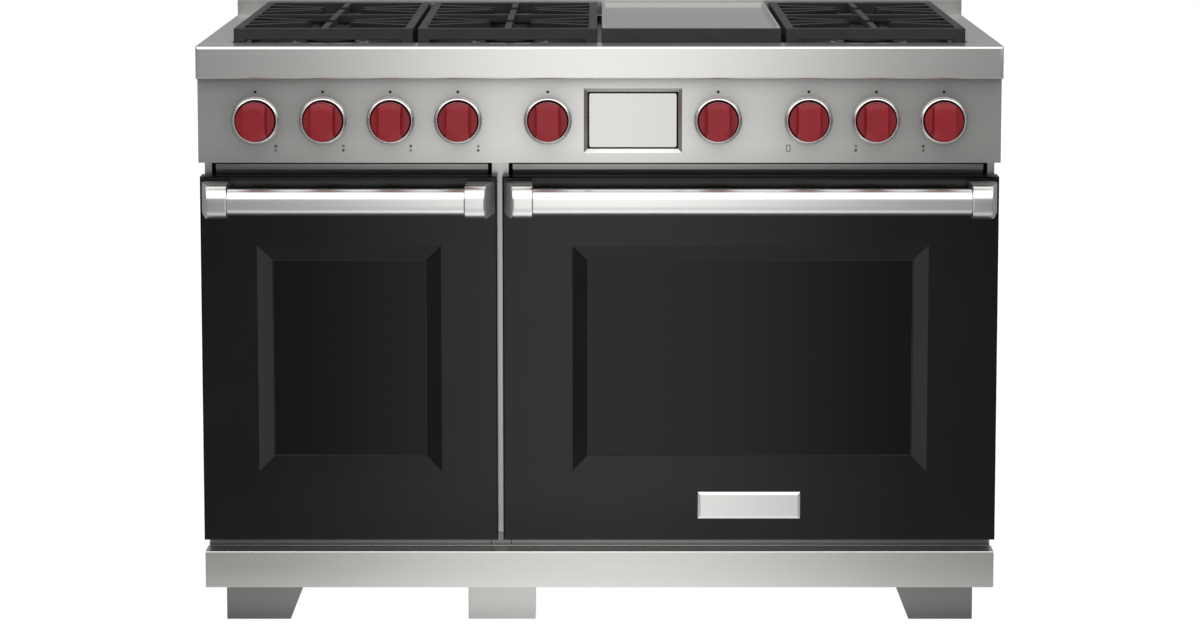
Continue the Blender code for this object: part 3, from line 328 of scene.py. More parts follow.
MATERIALS = {
    "steel": brushed("steel", (0.635, 0.63, 0.615), 0.27),
    "bullnose_steel": brushed("bullnose_steel", (0.70, 0.695, 0.68), 0.25),
    "cooktop": cooktop("cooktop", DECK - 0.0012),
    "panel_steel": brushed("panel_steel", (0.64, 0.635, 0.62), 0.24),
    "frame_steel": brushed("frame_steel", (0.60, 0.595, 0.585), 0.30, grain="Z"),
    "vent_steel": brushed("vent_steel", (0.58, 0.575, 0.565), 0.28),
    # painted shade: dark steel for sheets laid where the frame is in shade
    "painted_shade_steel": brushed("painted_shade_steel", (0.27, 0.268, 0.262), 0.34),
    "trim_steel": brushed("trim_steel", (0.43, 0.427, 0.42), 0.30),
    # painted shade: darker copies of steel for the outer legs and the middle leg
    "painted_shade_outer_legs": brushed("painted_shade_outer_legs", (0.26, 0.258, 0.252), 0.32),
    "painted_shade_middle_leg": brushed("painted_shade_middle_leg", (0.50, 0.497, 0.488), 0.32),
    "side_steel": brushed("side_steel", (0.60, 0.595, 0.585), 0.32, grain="Z"),
    "handle_steel": brushed("handle_steel", (0.77, 0.767, 0.76), 0.25, spread=0.008, depth=0.012),
    "cast_handle": plain("cast_handle", (0.74, 0.737, 0.73), 1.0, 0.24, 900.0, 0.03, 0.02),
    # painted shade: a darker grey given to bracket tops, bracket outer faces and vent-strip undersides
    "painted_shade_grey": plain("painted_shade_grey", (0.36, 0.358, 0.352), 0.45, 0.48, 900.0, 0.05, 0.06),
    "griddle_steel": brushed("griddle_steel", (0.55, 0.545, 0.53), 0.30, grain="Y"),
    "black_enamel": enamel("black_enamel", (0.0045, 0.0045, 0.0045), 0.13, 0.32),
    "oven_enamel": speckled("oven_enamel", (0.006, 0.009, 0.026), (0.20, 0.24, 0.34), 0.28),
    "dark_glass": dark_glass("dark_glass"),
    "grate_iron": cast_iron("grate_iron", (0.0125, 0.0125, 0.0125), 0.52),
    "cap_enamel": cast_iron("cap_enamel", (0.013, 0.013, 0.013), 0.42),
    "red_knob": plain("red_knob", (0.31, 0.012, 0.020), 0.0, 0.32, 800.0, 0.06, 0.08, 0.30),
    "seal_rubber": plain("seal_rubber", (0.016, 0.016, 0.016), 0.0, 0.75, 700.0, 0.3, 0.3),
    "rack_wire": plain("rack_wire", (0.66, 0.65, 0.63), 1.0, 0.22, 600.0, 0.08, 0.06),
    "zinc_steel": spangled("zinc_steel"),
    "aluminium": plain("aluminium", (0.60, 0.60, 0.60), 1.0, 0.45, 400.0, 0.3, 0.08),
    "burner_head": plain("burner_head", (0.10, 0.095, 0.09), 0.9, 0.42, 500.0, 0.2, 0.2),
    "ceramic": plain("ceramic", (0.70, 0.68, 0.62), 0.0, 0.30, 300.0, 0.05, 0.05),
    # black used for print, seams and painted shade pieces
    "print_seam_and_shade_black": plain("print_seam_and_shade_black", (0.004, 0.004, 0.004), 0.0, 0.65, 900.0, 0.05, 0.2, 0.15),
    "print_grey": plain("print_grey", (0.05, 0.05, 0.05), 0.0, 0.5, 900.0, 0.05, 0.2),
    "screw_steel": plain("screw_steel", (0.55, 0.55, 0.54), 1.0, 0.28, 700.0, 0.1, 0.1),
    "lamp_glass": plain("lamp_glass", (0.75, 0.72, 0.62), 0.0, 0.15, 120.0, 0.4, 0.05),
    "element": plain("element", (0.06, 0.055, 0.05), 0.6, 0.5, 500.0, 0.3, 0.25),
}


shade_corners(MATERIALS["panel_steel"], 0.07, 0.60)
shade_corners(MATERIALS["vent_steel"], 0.06, 0.45)


# ---------------------------------------------------------------- mesh helpers
def new_piece(name, bm, material, body, bevel=0.0, segments=2, angle=35.0):
    """A finished piece that rides on a body; bevel rounds its sharp edges."""
    bmesh.ops.recalc_face_normals(bm, faces=bm.faces[:])
    mesh = bpy.data.meshes.new(name)
    bm.to_mesh(mesh)
    bm.free()
    mesh.materials.append(MATERIALS[material])
    mesh.shade_smooth()
    item = bpy.data.objects.new(name, mesh)
    bpy.context.scene.collection.objects.link(item)
    round_edges(item, bevel, segments, angle)
    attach(item, body)
    return item


def round_edges(item, width, segments=2, angle=35.0):
    """Soft edges, with flat faces kept flat."""
    shape_edges(item, width, segments, angle)
    flat = item.modifiers.new("normals", "WEIGHTED_NORMAL")
    flat.keep_sharp = True


def shape_edges(item, width, segments, angle):
    if width > 0:
        bevel = item.modifiers.new("edge", "BEVEL")
        bevel.width = width
        bevel.segments = segments
        bevel.limit_method = "ANGLE"
        bevel.angle_limit = math.radians(angle)
        bevel.harden_normals = True
        bevel.use_clamp_overlap = True
    else:
        split = item.modifiers.new("split", "EDGE_SPLIT")
        split.split_angle = math.radians(angle)


def dress_carved(item, material, body, bevel=0.0, segments=2, angle=35.0):
    """Give a carved piece its one material, soft edges and body."""
    one_material(item, material)
    round_edges(item, bevel, segments, angle)
    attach(item, body)


def one_material(item, material):
    item.data.materials.clear()
    item.data.materials.append(MATERIALS[material])
    item.data.shade_smooth()


def skin_rings(bm, rings, closed=False):
    count = len(rings)
    last = count if closed else count - 1
    for i in range(last):
        here, there = rings[i], rings[(i + 1) % count]
        for k in range(len(here)):
            n = (k + 1) % len(here)
            bm.faces.new((here[k], here[n], there[n], there[k]))
    if not closed:
        bm.faces.new(rings[0])
        bm.faces.new(rings[-1])


def lathe(profile, centre, axis, segments=64, closed=False, bm=None):
    """Turn (radius, along) points about an axis through centre."""
    bm = bm or bmesh.new()
    rings = []
    for radius, along in profile:
        ring = []
        for k in range(segments):
            turn = math.tau * (k + 0.5) / segments
            u, v = radius * math.cos(turn), radius * math.sin(turn)
            spot = {"X": (along, u, v), "Y": (u, along, v), "Z": (u, v, along)}[axis]
            ring.append(bm.verts.new([spot[i] + centre[i] for i in range(3)]))
        rings.append(ring)
    skin_rings(bm, rings, closed)
    return bm


def block(low, high, bm=None):
    """A box between two corners, added to a bmesh."""
    bm = bm or bmesh.new()
    made = bmesh.ops.create_cube(bm, size=1.0)["verts"]
    for vert in made:
        for k in range(3):
            vert.co[k] = high[k] if vert.co[k] > 0 else low[k]
    return bm


def loops(rects, bm=None, closed=False):
    """Join rectangles (x0, x1, z0, z1, y) one after another."""
    bm = bm or bmesh.new()
    rings = []
    for x0, x1, z0, z1, y in rects:
        corners = ((x0, z0), (x1, z0), (x1, z1), (x0, z1))
        rings.append([bm.verts.new((x, y, z)) for x, z in corners])
    skin_rings(bm, rings, closed)
    return bm


def pipe(points, radius, segments=12, bm=None):
    """A round bar along a path of points."""
    bm = bm or bmesh.new()
    points = [Vector(p) for p in points]
    rings = []
    side = None
    for i, point in enumerate(points):
        ahead = points[min(i + 1, len(points) - 1)] - points[max(i - 1, 0)]
        ahead.normalize()
        if side is None:
            side = ahead.orthogonal().normalized()
        side = (side - ahead * side.dot(ahead)).normalized()
        other = ahead.cross(side)
        ring = []
        for k in range(segments):
            turn = math.tau * k / segments
            offset = side * math.cos(turn) + other * math.sin(turn)
            ring.append(bm.verts.new(point + offset * radius))
        rings.append(ring)
    skin_rings(bm, rings)
    return bm


def carve(item, tools):
    """Cut tool meshes out of a piece once, and keep only the result."""
    for tool_bm in tools:
        bmesh.ops.recalc_face_normals(tool_bm, faces=tool_bm.faces[:])
        mesh = bpy.data.meshes.new("tool")
        tool_bm.to_mesh(mesh)
        tool_bm.free()
        tool = bpy.data.objects.new("tool", mesh)
        bpy.context.scene.collection.objects.link(tool)
        cut = item.modifiers.new("cut", "BOOLEAN")
        cut.solver = "EXACT"
        cut.operation = "DIFFERENCE"
        cut.object = tool
        graph = bpy.context.evaluated_depsgraph_get()
        result = bpy.data.meshes.new_from_object(item.evaluated_get(graph))
        item.modifiers.remove(cut)
        item.data = result
        bpy.data.objects.remove(tool)


def raw_object(name, bm):
    bmesh.ops.recalc_face_normals(bm, faces=bm.faces[:])
    mesh = bpy.data.meshes.new(name)
    bm.to_mesh(mesh)
    bm.free()
    item = bpy.data.objects.new(name, mesh)
    bpy.context.scene.collection.objects.link(item)
    return item


# ---------------------------------------------------------------- carried-over solids
SLOT_MATERIAL = {
    "left_side_panel": "side_steel", "right_side_panel": "side_steel",
    # the legs take darker steel as painted shade
    "front_left_leg": "painted_shade_outer_legs", "front_right_leg": "painted_shade_outer_legs",
    "rear_left_leg": "painted_shade_outer_legs", "rear_right_leg": "painted_shade_outer_legs",
    "front_center_leg": "painted_shade_middle_leg", "control_panel": "panel_steel",
    "front_frame": "frame_steel", "island_trim": "trim_steel",
    "bullnose": "bullnose_steel", "back_panel": "zinc_steel", "cooktop_pan": "cooktop",
}
EDGE = {
    "grate_left": 0.0016, "grate_middle": 0.0016, "grate_right": 0.0016,
    "bullnose": 0.0003, "base_trim": 0.0003, "griddle_plate": 0.0012,
    "griddle_drip_tray": 0.0016, "left_door_panel": 0.0005, "right_door_panel": 0.0005,
    "island_trim": 0.0005, "cooktop_pan": 0.0005, "control_panel": 0.0009,
    "display_panel": 0.0008, "front_frame": 0.0003, "front_center_leg": 0.0018,
}


ROUND_NODES = ("handle", "knob", "burner", "manifold", "hinge", "bullnose", "rack")


def dress_solids():
    slots = {p["node"]: p["material_slot"] for p in frame["record"]["subparts"]}
    for name, item in NODES.items():
        item.data.materials.clear()
        item.data.materials.append(MATERIALS[SLOT_MATERIAL.get(name, slots[name])])
        weld = item.modifiers.new("weld", "WELD")
        weld.merge_threshold = 0.00001
        flat = item.modifiers.new("flat", "DECIMATE")
        flat.decimate_type = "DISSOLVE"
        flat.angle_limit = math.radians(0.5)
        if any(word in name for word in ROUND_NODES):
            item.data.shade_smooth()
            round_edges(item, EDGE.get(name, 0.0004), 2)
        else:
            item.data.shade_flat()
            angle = 12.0 if "door" in name else 30.0
            round_edges(item, EDGE.get(name, 0.0004), 3, angle)
            item.modifiers["edge"].harden_normals = False
            item.modifiers.remove(item.modifiers["normals"])


# ---------------------------------------------------------------- knobs
KNOB_RADIUS = 0.0297
KNOB_PROUD = 0.032
KNOB_SKIRT = 0.0115
GRIP_HALF = 0.0158


def knob_profile(face):
    nose = face - KNOB_PROUD
    return [
        (0.0190, nose), (0.0200, nose + 0.0002), (0.0272, nose + 0.0024), (0.0285, nose + 0.0034),
        (0.0293, nose + 0.0050), (KNOB_RADIUS, nose + 0.0075), (0.0296, nose + 0.0120),
        (0.0292, nose + 0.0210), (0.0288, nose + 0.0305),
        (0.0280, face - 0.001),
        (0.0100, face - 0.001),
    ]


def scoop(x, sign, face):
    """Cutter for one side of the grip, with a soft floor."""
    nose = face - KNOB_PROUD - 0.004
    floor = face - KNOB_SKIRT
    outline = [
        (GRIP_HALF, nose), (GRIP_HALF + 0.0012, floor - 0.0055),
        (GRIP_HALF + 0.0020, floor - 0.0028),
        (GRIP_HALF + 0.0036, floor - 0.0010), (GRIP_HALF + 0.0060, floor),
        (0.040, floor + 0.0012), (0.040, nose),
    ]
    bm = bmesh.new()
    rings = []
    for z in (KNOB_LEVEL - 0.04, KNOB_LEVEL + 0.04):
        rings.append([bm.verts.new((x + sign * a, b, z)) for a, b in outline])
    skin_rings(bm, rings)
    return bm


def make_knob(name):
    x = middle(name).x
    face = back(PANEL_FACE)
    item = raw_object(f"{name}_grip", lathe(knob_profile(face), (x, 0, KNOB_LEVEL), "Y", 72))
    carve(item, [scoop(x, -1, face), scoop(x, 1, face)])
    dress_carved(item, "red_knob", name, 0.0009, 3, 28.0)
    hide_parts(name)


def make_bezel(name):
    x = middle(name).x
    face = back(PANEL_FACE)
    ring = [
        (0.0309, face - 0.0004), (0.0309, face - 0.0052), (0.0313, face - 0.0062),
        (0.0322, face - 0.0065), (0.0338, face - 0.0058), (0.0350, face - 0.0042),
        (0.0358, face - 0.0022), (0.0361, face - 0.0004),
    ]
    bm = lathe(ring, (x, 0, KNOB_LEVEL), "Y", 96, closed=True)
    new_piece(f"{name}_bezel", bm, "cast_handle", "range_body", 0.0002)
    # painted shadow: a black disc on the panel face behind each knob
    well = [(0.0310, face - 0.0003), (0.0310, face - 0.0007), (0.0060, face - 0.0007),
            (0.0060, face - 0.0003)]
    bm = lathe(well, (x, 0, KNOB_LEVEL), "Y", 64, closed=True)
    new_piece(f"{name}_shadow_ring", bm, "print_seam_and_shade_black", "range_body")


PRINT_HIGH = 0.00015


def make_marks(name, index):
    """A dot over each knob and a small position mark beside it."""
    x = middle(name).x
    face = back(PANEL_FACE) - 0.00035
    bm = lathe([(0.0020, face), (0.0020, face - PRINT_HIGH)], (x, 0, KNOB_LEVEL + 0.0435), "Y", 20)
    new_piece(f"{name}_dot", bm, "print_seam_and_shade_black", "range_body")
    if "oven" in name:
        return
    side = 1 if index < 5 else -1
    mx = x + side * 0.0305
    mz = KNOB_LEVEL - 0.0420
    if name == "knob_griddle":
        w, h, t = 0.0030, 0.0048, 0.0006
        rects = [(mx - w, mx + w, mz - h, mz + h, face),
                 (mx - w, mx + w, mz - h, mz + h, face - PRINT_HIGH),
                 (mx - w + t, mx + w - t, mz - h + t, mz + h - t, face - PRINT_HIGH),
                 (mx - w + t, mx + w - t, mz - h + t, mz + h - t, face)]
        new_piece("griddle_mark", loops(rects, closed=True), "print_grey", "range_body")
        return
    front = "front" in name
    bm = bmesh.new()
    for level, full in ((mz + 0.0032, front), (mz - 0.0032, not front)):
        r = 0.0019
        inner = 0.0004 if full else 0.0013
        ring = [(r, face), (r, face - PRINT_HIGH), (inner, face - PRINT_HIGH), (inner, face)]
        lathe(ring, (mx, 0, level), "Y", 20, closed=True, bm=bm)
    new_piece(f"{name}_mark", bm, "print_grey", "range_body")


# ---------------------------------------------------------------- handles
BAR_RADIUS = 0.0206
BRACKET_RADIUS = 0.0254
BRACKET_SLANT = 0.0130
HANDLE_DEPTH = -0.013


def handle_centre(side):
    spot = middle(f"{side}_handle_bar")
    return back(HANDLE_DEPTH), spot.z


def make_bar(side):
    low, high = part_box(f"{side}_handle_bar")
    y, z = handle_centre(side)
    r = BAR_RADIUS
    profile = [
        (r - 0.004, low.x), (r - 0.0008, low.x), (r - 0.0002, low.x + 0.0004), (r, low.x + 0.0010),
        (r, high.x - 0.0010), (r - 0.0002, high.x - 0.0004), (r - 0.0008, high.x),
        (r - 0.004, high.x),
    ]
    bm = lathe(profile, (0, y, z), "X", 96)
    item = new_piece(f"{side}_handle_tube", bm, "handle_steel", f"door_{side}",
                     0.0, 2, 50)
    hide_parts(f"{side}_handle_bar")


def bracket_ring(bm, x_at, inset, centre, root, steps=40):
    y, z = centre
    r = BRACKET_RADIUS - inset
    spots = [(root, z + r), ((root + y) / 2, z + r)]
    for k in range(steps + 1):
        turn = math.pi / 2 + math.pi * k / steps
        spots.append((y + r * math.cos(turn), z + r * math.sin(turn)))
    spots += [((root + y) / 2, z - r), (root, z - r)]
    return [bm.verts.new((x_at(a), a, b)) for a, b in spots]


def make_bracket(side, end):
    """Cast end bracket whose outer face leans inwards towards the front."""
    low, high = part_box(f"{side}_handle_bracket_{end}")
    sign = -1 if end == "left" else 1
    outer, inner = (low.x, high.x) if end == "left" else (high.x, low.x)
    centre = handle_centre(side)
    root = back(DOOR_FACE) - 0.0003
    front = centre[0] - BRACKET_RADIUS
    round_by = 0.0042

    def lean(shift):
        return lambda y: outer - sign * (BRACKET_SLANT * (root - y) / (root - front) + shift)

    bm = bmesh.new()
    rings = [bracket_ring(bm, lambda y: inner, 0.0012, centre, root)]
    rings.append(bracket_ring(bm, lambda y: inner + sign * 0.0004, 0.0004, centre, root))
    rings.append(bracket_ring(bm, lambda y: inner + sign * 0.0014, 0.0, centre, root))
    steps = 6
    for k in range(steps + 1):
        turn = math.pi / 2 * k / steps
        shift = round_by * (1 - math.sin(turn))
        rings.append(bracket_ring(bm, lean(shift), round_by * (1 - math.cos(turn)), centre, root))
    skin_rings(bm, rings)
    item = new_piece(f"{side}_handle_end_{end}", bm, "cast_handle", f"door_{side}",
                     0.0, 2, 38)
    # painted shade: the bracket's flat top and outer face take the darker grey
    item.data.materials.append(MATERIALS["painted_shade_grey"])
    for face in item.data.polygons:
        flat = abs(face.normal.z) > 0.985 and face.center.y > centre[0]
        if flat or sign * face.normal.x > 0.5:
            face.material_index = 1
    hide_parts(f"{side}_handle_bracket_{end}")
    make_set_screw(side, end, centre, lean, root, front, sign)


def make_set_screw(side, end, centre, lean, root, front, sign):
    """A hexagon socket screw sunk in the bracket's leaning face."""
    y = centre[0] + 0.012
    x = lean(0.0)(y)
    run = Vector((root - front, -sign * -BRACKET_SLANT, 0)).normalized()
    out = Vector((sign * run.x, -abs(run.y), 0)).normalized()
    spot = Vector((x, y, centre[1]))
    rim = [(0.0046, 0.0002), (0.0046, 0.0007), (0.0030, 0.0007), (0.0030, 0.0002)]
    bm = lathe(rim, (0, 0, 0), "Z", 32, closed=True)
    turn = out.to_track_quat("Z", "Y").to_matrix().to_4x4()
    turn.translation = spot
    bm.transform(turn)
    new_piece(f"{side}_set_screw_{end}", bm, "screw_steel", f"door_{side}", 0.0001)
    # painted shade: a black hexagon on the screw head stands for the socket's hole
    bm = lathe([(0.0029, 0.00025), (0.0029, 0.0004)], (0, 0, 0), "Z", 6)
    bm.transform(turn)
    new_piece(f"{side}_socket_painted_shade_{end}", bm, "print_seam_and_shade_black", f"door_{side}")


# ---------------------------------------------------------------- door details
def make_edge_shade(side):
    """A thin black strip of painted shade along the bevelled side edges of the door."""
    low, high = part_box(f"{side}_door_panel")
    face = back(DOOR_FACE)
    for end, edge, sign in (("left", low.x, 1), ("right", high.x, -1)):
        spots = (edge + sign * 0.0001, edge + sign * 0.0014)
        bm = block((min(spots), face + 0.0003, low.z + 0.0002),
                   (max(spots), face + 0.0016, high.z - 0.0002))
        new_piece(f"{side}_door_edge_shade_{end}", bm, "print_seam_and_shade_black", f"door_{side}", 0.0003)


def make_badge():
    """A blank bevelled plate on the large door."""
    face = back(DOOR_FACE) - 0.0003
    x, z = 0.2295, 0.1928
    w, h = 0.0787, 0.0208
    b = 0.0042
    rects = [
        (x - w, x + w, z - h, z + h, face),
        (x - w, x + w, z - h, z + h, face - 0.0010),
        (x - w + b, x + w - b, z - h + b, z + h - b, face - 0.0040),
        (x - w + b * 1.25, x + w - b * 1.25, z - h + b * 1.25, z + h - b * 1.25, face - 0.0036),
    ]
    new_piece("blank_badge", loops(rects), "handle_steel", "door_right", 0.0002)


def make_window_border(side):
    """A thin dark gasket round the glass and the inner pane at the back of the door."""
    low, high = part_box(f"{side}_window_glass")
    lap = 0.010
    face = low.y - 0.0002
    x0, x1, z0, z1 = low.x + lap, high.x - lap, low.z + lap, high.z - lap
    t = 0.0012
    rects = [
        (x0, x1, z0, z1, face), (x0, x1, z0, z1, face - 0.0012),
        (x0 + t, x1 - t, z0 + t, z1 - t, face - 0.0012), (x0 + t, x1 - t, z0 + t, z1 - t, face),
    ]
    new_piece(f"{side}_glass_gasket", loops(rects, closed=True), "seal_rubber", f"door_{side}",
              0.0003)
    pane_y = back(DOOR_BACK) - 0.004
    m = 0.0045
    rects = [(x0 - m, x1 + m, z0 - m, z1 + m, y) for y in (pane_y - 0.003, pane_y)]
    new_piece(f"{side}_inner_pane", loops(rects), "dark_glass", f"door_{side}",
              0.0004)
    make_pane_clips(side, (x0, x1, z0, z1), pane_y)


def make_pane_clips(side, rect, pane_y):
    """Folded steel frame that holds the inner pane, with four screws."""
    x0, x1, z0, z1 = rect
    face = back(DOOR_BACK)
    m, w = 0.004, 0.022
    rects = [
        (x0 + m, x1 - m, z0 + m, z1 - m, pane_y + 0.0003),
        (x0 + m, x1 - m, z0 + m, z1 - m, face + 0.0012),
        (x0 - w, x1 + w, z0 - w, z1 + w, face + 0.0012),
        (x0 - w, x1 + w, z0 - w, z1 + w, face + 0.0003),
        (x0 - 0.004, x1 + 0.004, z0 - 0.004, z1 + 0.004, face + 0.0003),
        (x0 - 0.004, x1 + 0.004, z0 - 0.004, z1 + 0.004, pane_y + 0.0003),
    ]
    new_piece(f"{side}_pane_frame", loops(rects, closed=True), "steel", f"door_{side}",
              0.0004)
    for i, (sx, sz) in enumerate(((x0, z0), (x1, z0), (x0, z1), (x1, z1))):
        ox = -0.013 if sx == x0 else 0.013
        oz = -0.013 if sz == z0 else 0.013
        spot = (sx + ox, face + 0.0014, sz + oz)
        make_screw(f"{side}_pane_screw_{i}", spot, "Y", 1, 0.0042, f"door_{side}")


def make_screw(name, spot, axis, sign, radius, body):
    """A round-headed screw with a cross slot, its head along one axis."""
    head = [(radius, 0.0), (radius * 0.98, radius * 0.18), (radius * 0.8, radius * 0.42),
            (radius * 0.4, radius * 0.52)]
    bm = lathe(head, (0, 0, 0), "Z", 24)
    item = raw_object("screw", bm)
    slot = radius * 0.13
    long = radius * 0.62
    top = radius * 0.6
    tools = [block((-long, -slot, radius * 0.28), (long, slot, top)),
             block((-slot, -long, radius * 0.28), (slot, long, top))]
    carve(item, tools)
    out = {"X": Vector((sign, 0, 0)), "Y": Vector((0, sign, 0)), "Z": Vector((0, 0, sign))}[axis]
    turn = out.to_track_quat("Z", "Y").to_matrix().to_4x4()
    turn.translation = spot
    item.data.transform(turn)
    item.name = name
    dress_carved(item, "screw_steel", body)


# ---------------------------------------------------------------- front frame details
def make_vent_deflectors():
    """Folded strips behind the gap over the doors, between the posts."""
    post = post_middle()
    spans = ((-0.594 + 0.006, post - 0.013 - 0.006), (post + 0.013 + 0.006, 0.594 - 0.006))
    for i, (x0, x1) in enumerate(spans):
        outline = [(0.0944, 0.7146), (0.0944, 0.7064), (0.0947, 0.7056), (0.0956, 0.7040),
                   (0.0969, 0.7018), (0.0980, 0.6999), (0.0992, 0.6999), (0.0981, 0.7020),
                   (0.0968, 0.7042), (0.0960, 0.7058), (0.0957, 0.7066), (0.0957, 0.7146)]
        bm = bmesh.new()
        rings = [[bm.verts.new((x, back(d), z)) for d, z in outline] for x in (x0, x1)]
        skin_rings(bm, rings)
        item = new_piece(f"vent_strip_{i}", bm, "vent_steel", "range_body", 0.0, 2, 20)
        # painted shade: the strip's downward faces take the darker grey
        item.data.materials.append(MATERIALS["painted_shade_grey"])
        for side in item.data.polygons:
            if side.normal.z < -0.2:
                side.material_index = 1
    # painted shade: dark steel sheets on the frame just over the door tops
    face = back(FRAME_FACE) - 0.0003
    for i, (x0, x1) in enumerate(((-0.588, post - 0.019), (post + 0.019, 0.588))):
        bm = block((x0, face - 0.0004, 0.6890), (x1, face, 0.6993))
        new_piece(f"vent_lip_{i}", bm, "painted_shade_steel", "range_body", 0.0001)
    bm = block((-0.596, back(0.1150), 0.700), (0.596, back(0.1160), 0.7245))
    new_piece("vent_shade", bm, "print_seam_and_shade_black", "range_body", 0.0002)


def make_frame_screws():
    """A dark steel strip of painted shade, with round plugs and two seams on the frame, under the
    doors.
    """
    face = back(FRAME_FACE) - 0.0003
    post = post_middle()
    # painted shade: a dark steel sheet over the frame under the doors
    bm = block((-0.603, face - 0.0003, 0.1226), (0.603, face, 0.1420))
    new_piece("lower_painted_shade", bm, "painted_shade_steel", "range_body", 0.0001)
    for i, sign in enumerate((-1, 1)):
        x = post + sign * 0.0155
        bm = block((x - 0.0005, face - 0.0006, 0.1226), (x + 0.0005, face - 0.0003, 0.1420))
        new_piece(f"post_seam_{i}", bm, "print_seam_and_shade_black", "range_body", 0.0001)
    face -= 0.0003
    places = [(-0.383, 0.1365), (-0.179, 0.1365), (-0.133, 0.1365), (0.230, 0.1365),
              (0.592, 0.1365), (-0.566, 0.1365)]
    for i, (x, z) in enumerate(places):
        ring = [(0.0050, face), (0.0050, face - 0.0010), (0.0040, face - 0.0018),
                (0.0036, face - 0.0010), (0.0014, face - 0.0008)]
        bm = lathe(ring, (x, 0, z), "Y", 32)
        new_piece(f"frame_plug_{i}", bm, "screw_steel", "range_body")
    seam = back(FRAME_FACE) - 0.0004
    bm = block((-0.604, seam - 0.0006, 0.1213), (0.604, seam, 0.1224))
    new_piece("base_seam", bm, "print_seam_and_shade_black", "range_body", 0.0001)


# ---------------------------------------------------------------- cooktop details
CAP_RADIUS = 0.041
PORTS = 36
FAN_SLOTS = 24
WELL_DEPTH = 0.012


def burner_nodes():
    return [n for n in NODES if n.startswith("burner_cap_")]


def make_burner(name):
    spot = middle(name)
    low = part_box(name)[0].z
    r = CAP_RADIUS
    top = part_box(name)[1].z
    profile = [
        (0.0300, low), (r - 0.0010, low), (r, low + 0.0010), (r, low + 0.0032),
        (r - 0.0008, low + 0.0045),
        (r - 0.0030, top - 0.0006), (r - 0.0060, top), (0.0260, top), (0.0230, top - 0.0006),
        (0.0060, top - 0.0008),
    ]
    item = new_piece(f"{name}_disc", lathe(profile, (spot.x, spot.y, 0), "Z", 80), "cap_enamel",
                     "range_body", 0.0, 2, 45)
    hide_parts(name)
    floor = DECK - WELL_DEPTH
    head = lathe([(0.0375, floor + 0.0036), (0.0392, floor + 0.0044), (0.0392, low - 0.0012),
                  (0.0380, low - 0.0003), (0.0366, low - 0.0003), (0.0366, floor + 0.0036)],
                 (spot.x, spot.y, 0), "Z", 96, closed=True)
    ring = new_piece(f"{name}_port_ring", head, "burner_head", "range_body")
    cut_ports(ring, spot, floor, low)
    make_igniter(name, spot, floor)
    trim = lathe([(0.0562, floor + 0.0003), (0.0600, floor + 0.0003), (0.0600, floor + 0.0009),
                  (0.0575, floor + 0.0022), (0.0562, floor + 0.0024)], (spot.x, spot.y, 0), "Z", 80,
                 closed=True)
    new_piece(f"{name}_base_trim", trim, "cast_handle", "range_body", 0.0002)


def radial_slots(centre, turn_to, levels, reaches, half_wide, count):
    """Cutters round a centre: turn_to gives the outward and sideways directions."""
    bm = bmesh.new()
    for k in range(count):
        out, side = turn_to(math.tau * k / count)
        corners = [bm.verts.new(centre + level + out * reach + side * (half_wide * s))
                   for level in levels for reach in reaches for s in (-1, 1)]
        a, b, c, d, e, f, g, h = corners
        for quad in ((a, b, d, c), (e, g, h, f), (a, e, f, b),
                     (c, d, h, g), (a, c, g, e), (b, f, h, d)):
            bm.faces.new(quad)
    return bm


def turn_flat(turn):
    out = Vector((math.cos(turn), math.sin(turn), 0))
    return out, Vector((-out.y, out.x, 0))


def turn_upright(turn):
    out = Vector((math.cos(turn), 0, math.sin(turn)))
    return out, Vector((-out.z, 0, out.x))


def cut_ports(ring, spot, floor, low):
    """Flame slots all round the head."""
    levels = [Vector((0, 0, z)) for z in (floor + 0.0062, low + 0.002)]
    centre = Vector((spot.x, spot.y, 0))
    carve(ring, [radial_slots(centre, turn_flat, levels, (0.0380, 0.0410), 0.0009, PORTS)])
    one_material(ring, "burner_head")


def make_igniter(name, spot, floor):
    """A white ceramic electrode with a steel tip beside the head."""
    x, y = spot.x + 0.0330, spot.y + 0.0340
    body = [(0.0034, floor + 0.0003), (0.0034, floor + 0.0050), (0.0027, floor + 0.0058),
            (0.0027, floor + 0.0105), (0.0018, floor + 0.0112)]
    new_piece(f"{name}_igniter", lathe(body, (x, y, 0), "Z", 24), "ceramic", "range_body",
              0.0, 2, 40)
    tip = pipe([(x, y, floor + 0.0110), (x, y, floor + 0.0135),
                (x - 0.0008, y - 0.0008, floor + 0.0150)],
               0.0006, 8)
    new_piece(f"{name}_igniter_tip", tip, "screw_steel", "range_body")


def make_griddle_details():
    """Two screws at the back of the griddle plate."""
    low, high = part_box("griddle_plate")
    for i, x in enumerate((low.x + 0.045, high.x - 0.045)):
        spot = (x, high.y - 0.0025, high.z + 0.0001)
        make_screw(f"griddle_screw_{i}", spot, "Z", 1, 0.0017, "range_body")


# ---------------------------------------------------------------- display
def rounded_ring(half_x, half_z, corner, y, steps=6):
    """Points round an upright rounded rectangle about the display's centre."""
    centre = middle("display_panel")
    points = []
    for quarter, (sx, sz) in enumerate(((1, 1), (-1, 1), (-1, -1), (1, -1))):
        for k in range(steps + 1):
            turn = math.pi / 2 * (quarter + k / steps)
            points.append((centre.x + sx * (half_x - corner) + corner * math.cos(turn), y,
                           KNOB_LEVEL + sz * (half_z - corner) + corner * math.sin(turn)))
    return points


def make_display_gap_shade():
    """A black ring of painted shade, square outside and rounded inside, round the turning plate."""
    face = back(PANEL_FACE)
    wide, high = 0.0683, 0.0430
    near, far = face + 0.0048, face + 0.0110
    bm = bmesh.new()
    rings = []
    for half_x, half_z, corner, y in (
            (wide, high, 0.0012, near), (wide, high, 0.0012, far),
            (wide - 0.0018, high - 0.0013, 0.0036, far), (wide - 0.0018, high - 0.0013, 0.0036, near)):
        rings.append([bm.verts.new(p) for p in rounded_ring(half_x, half_z, corner, y)])
    skin_rings(bm, rings, closed=True)
    new_piece("display_gap_shade", bm, "print_seam_and_shade_black", "range_body")


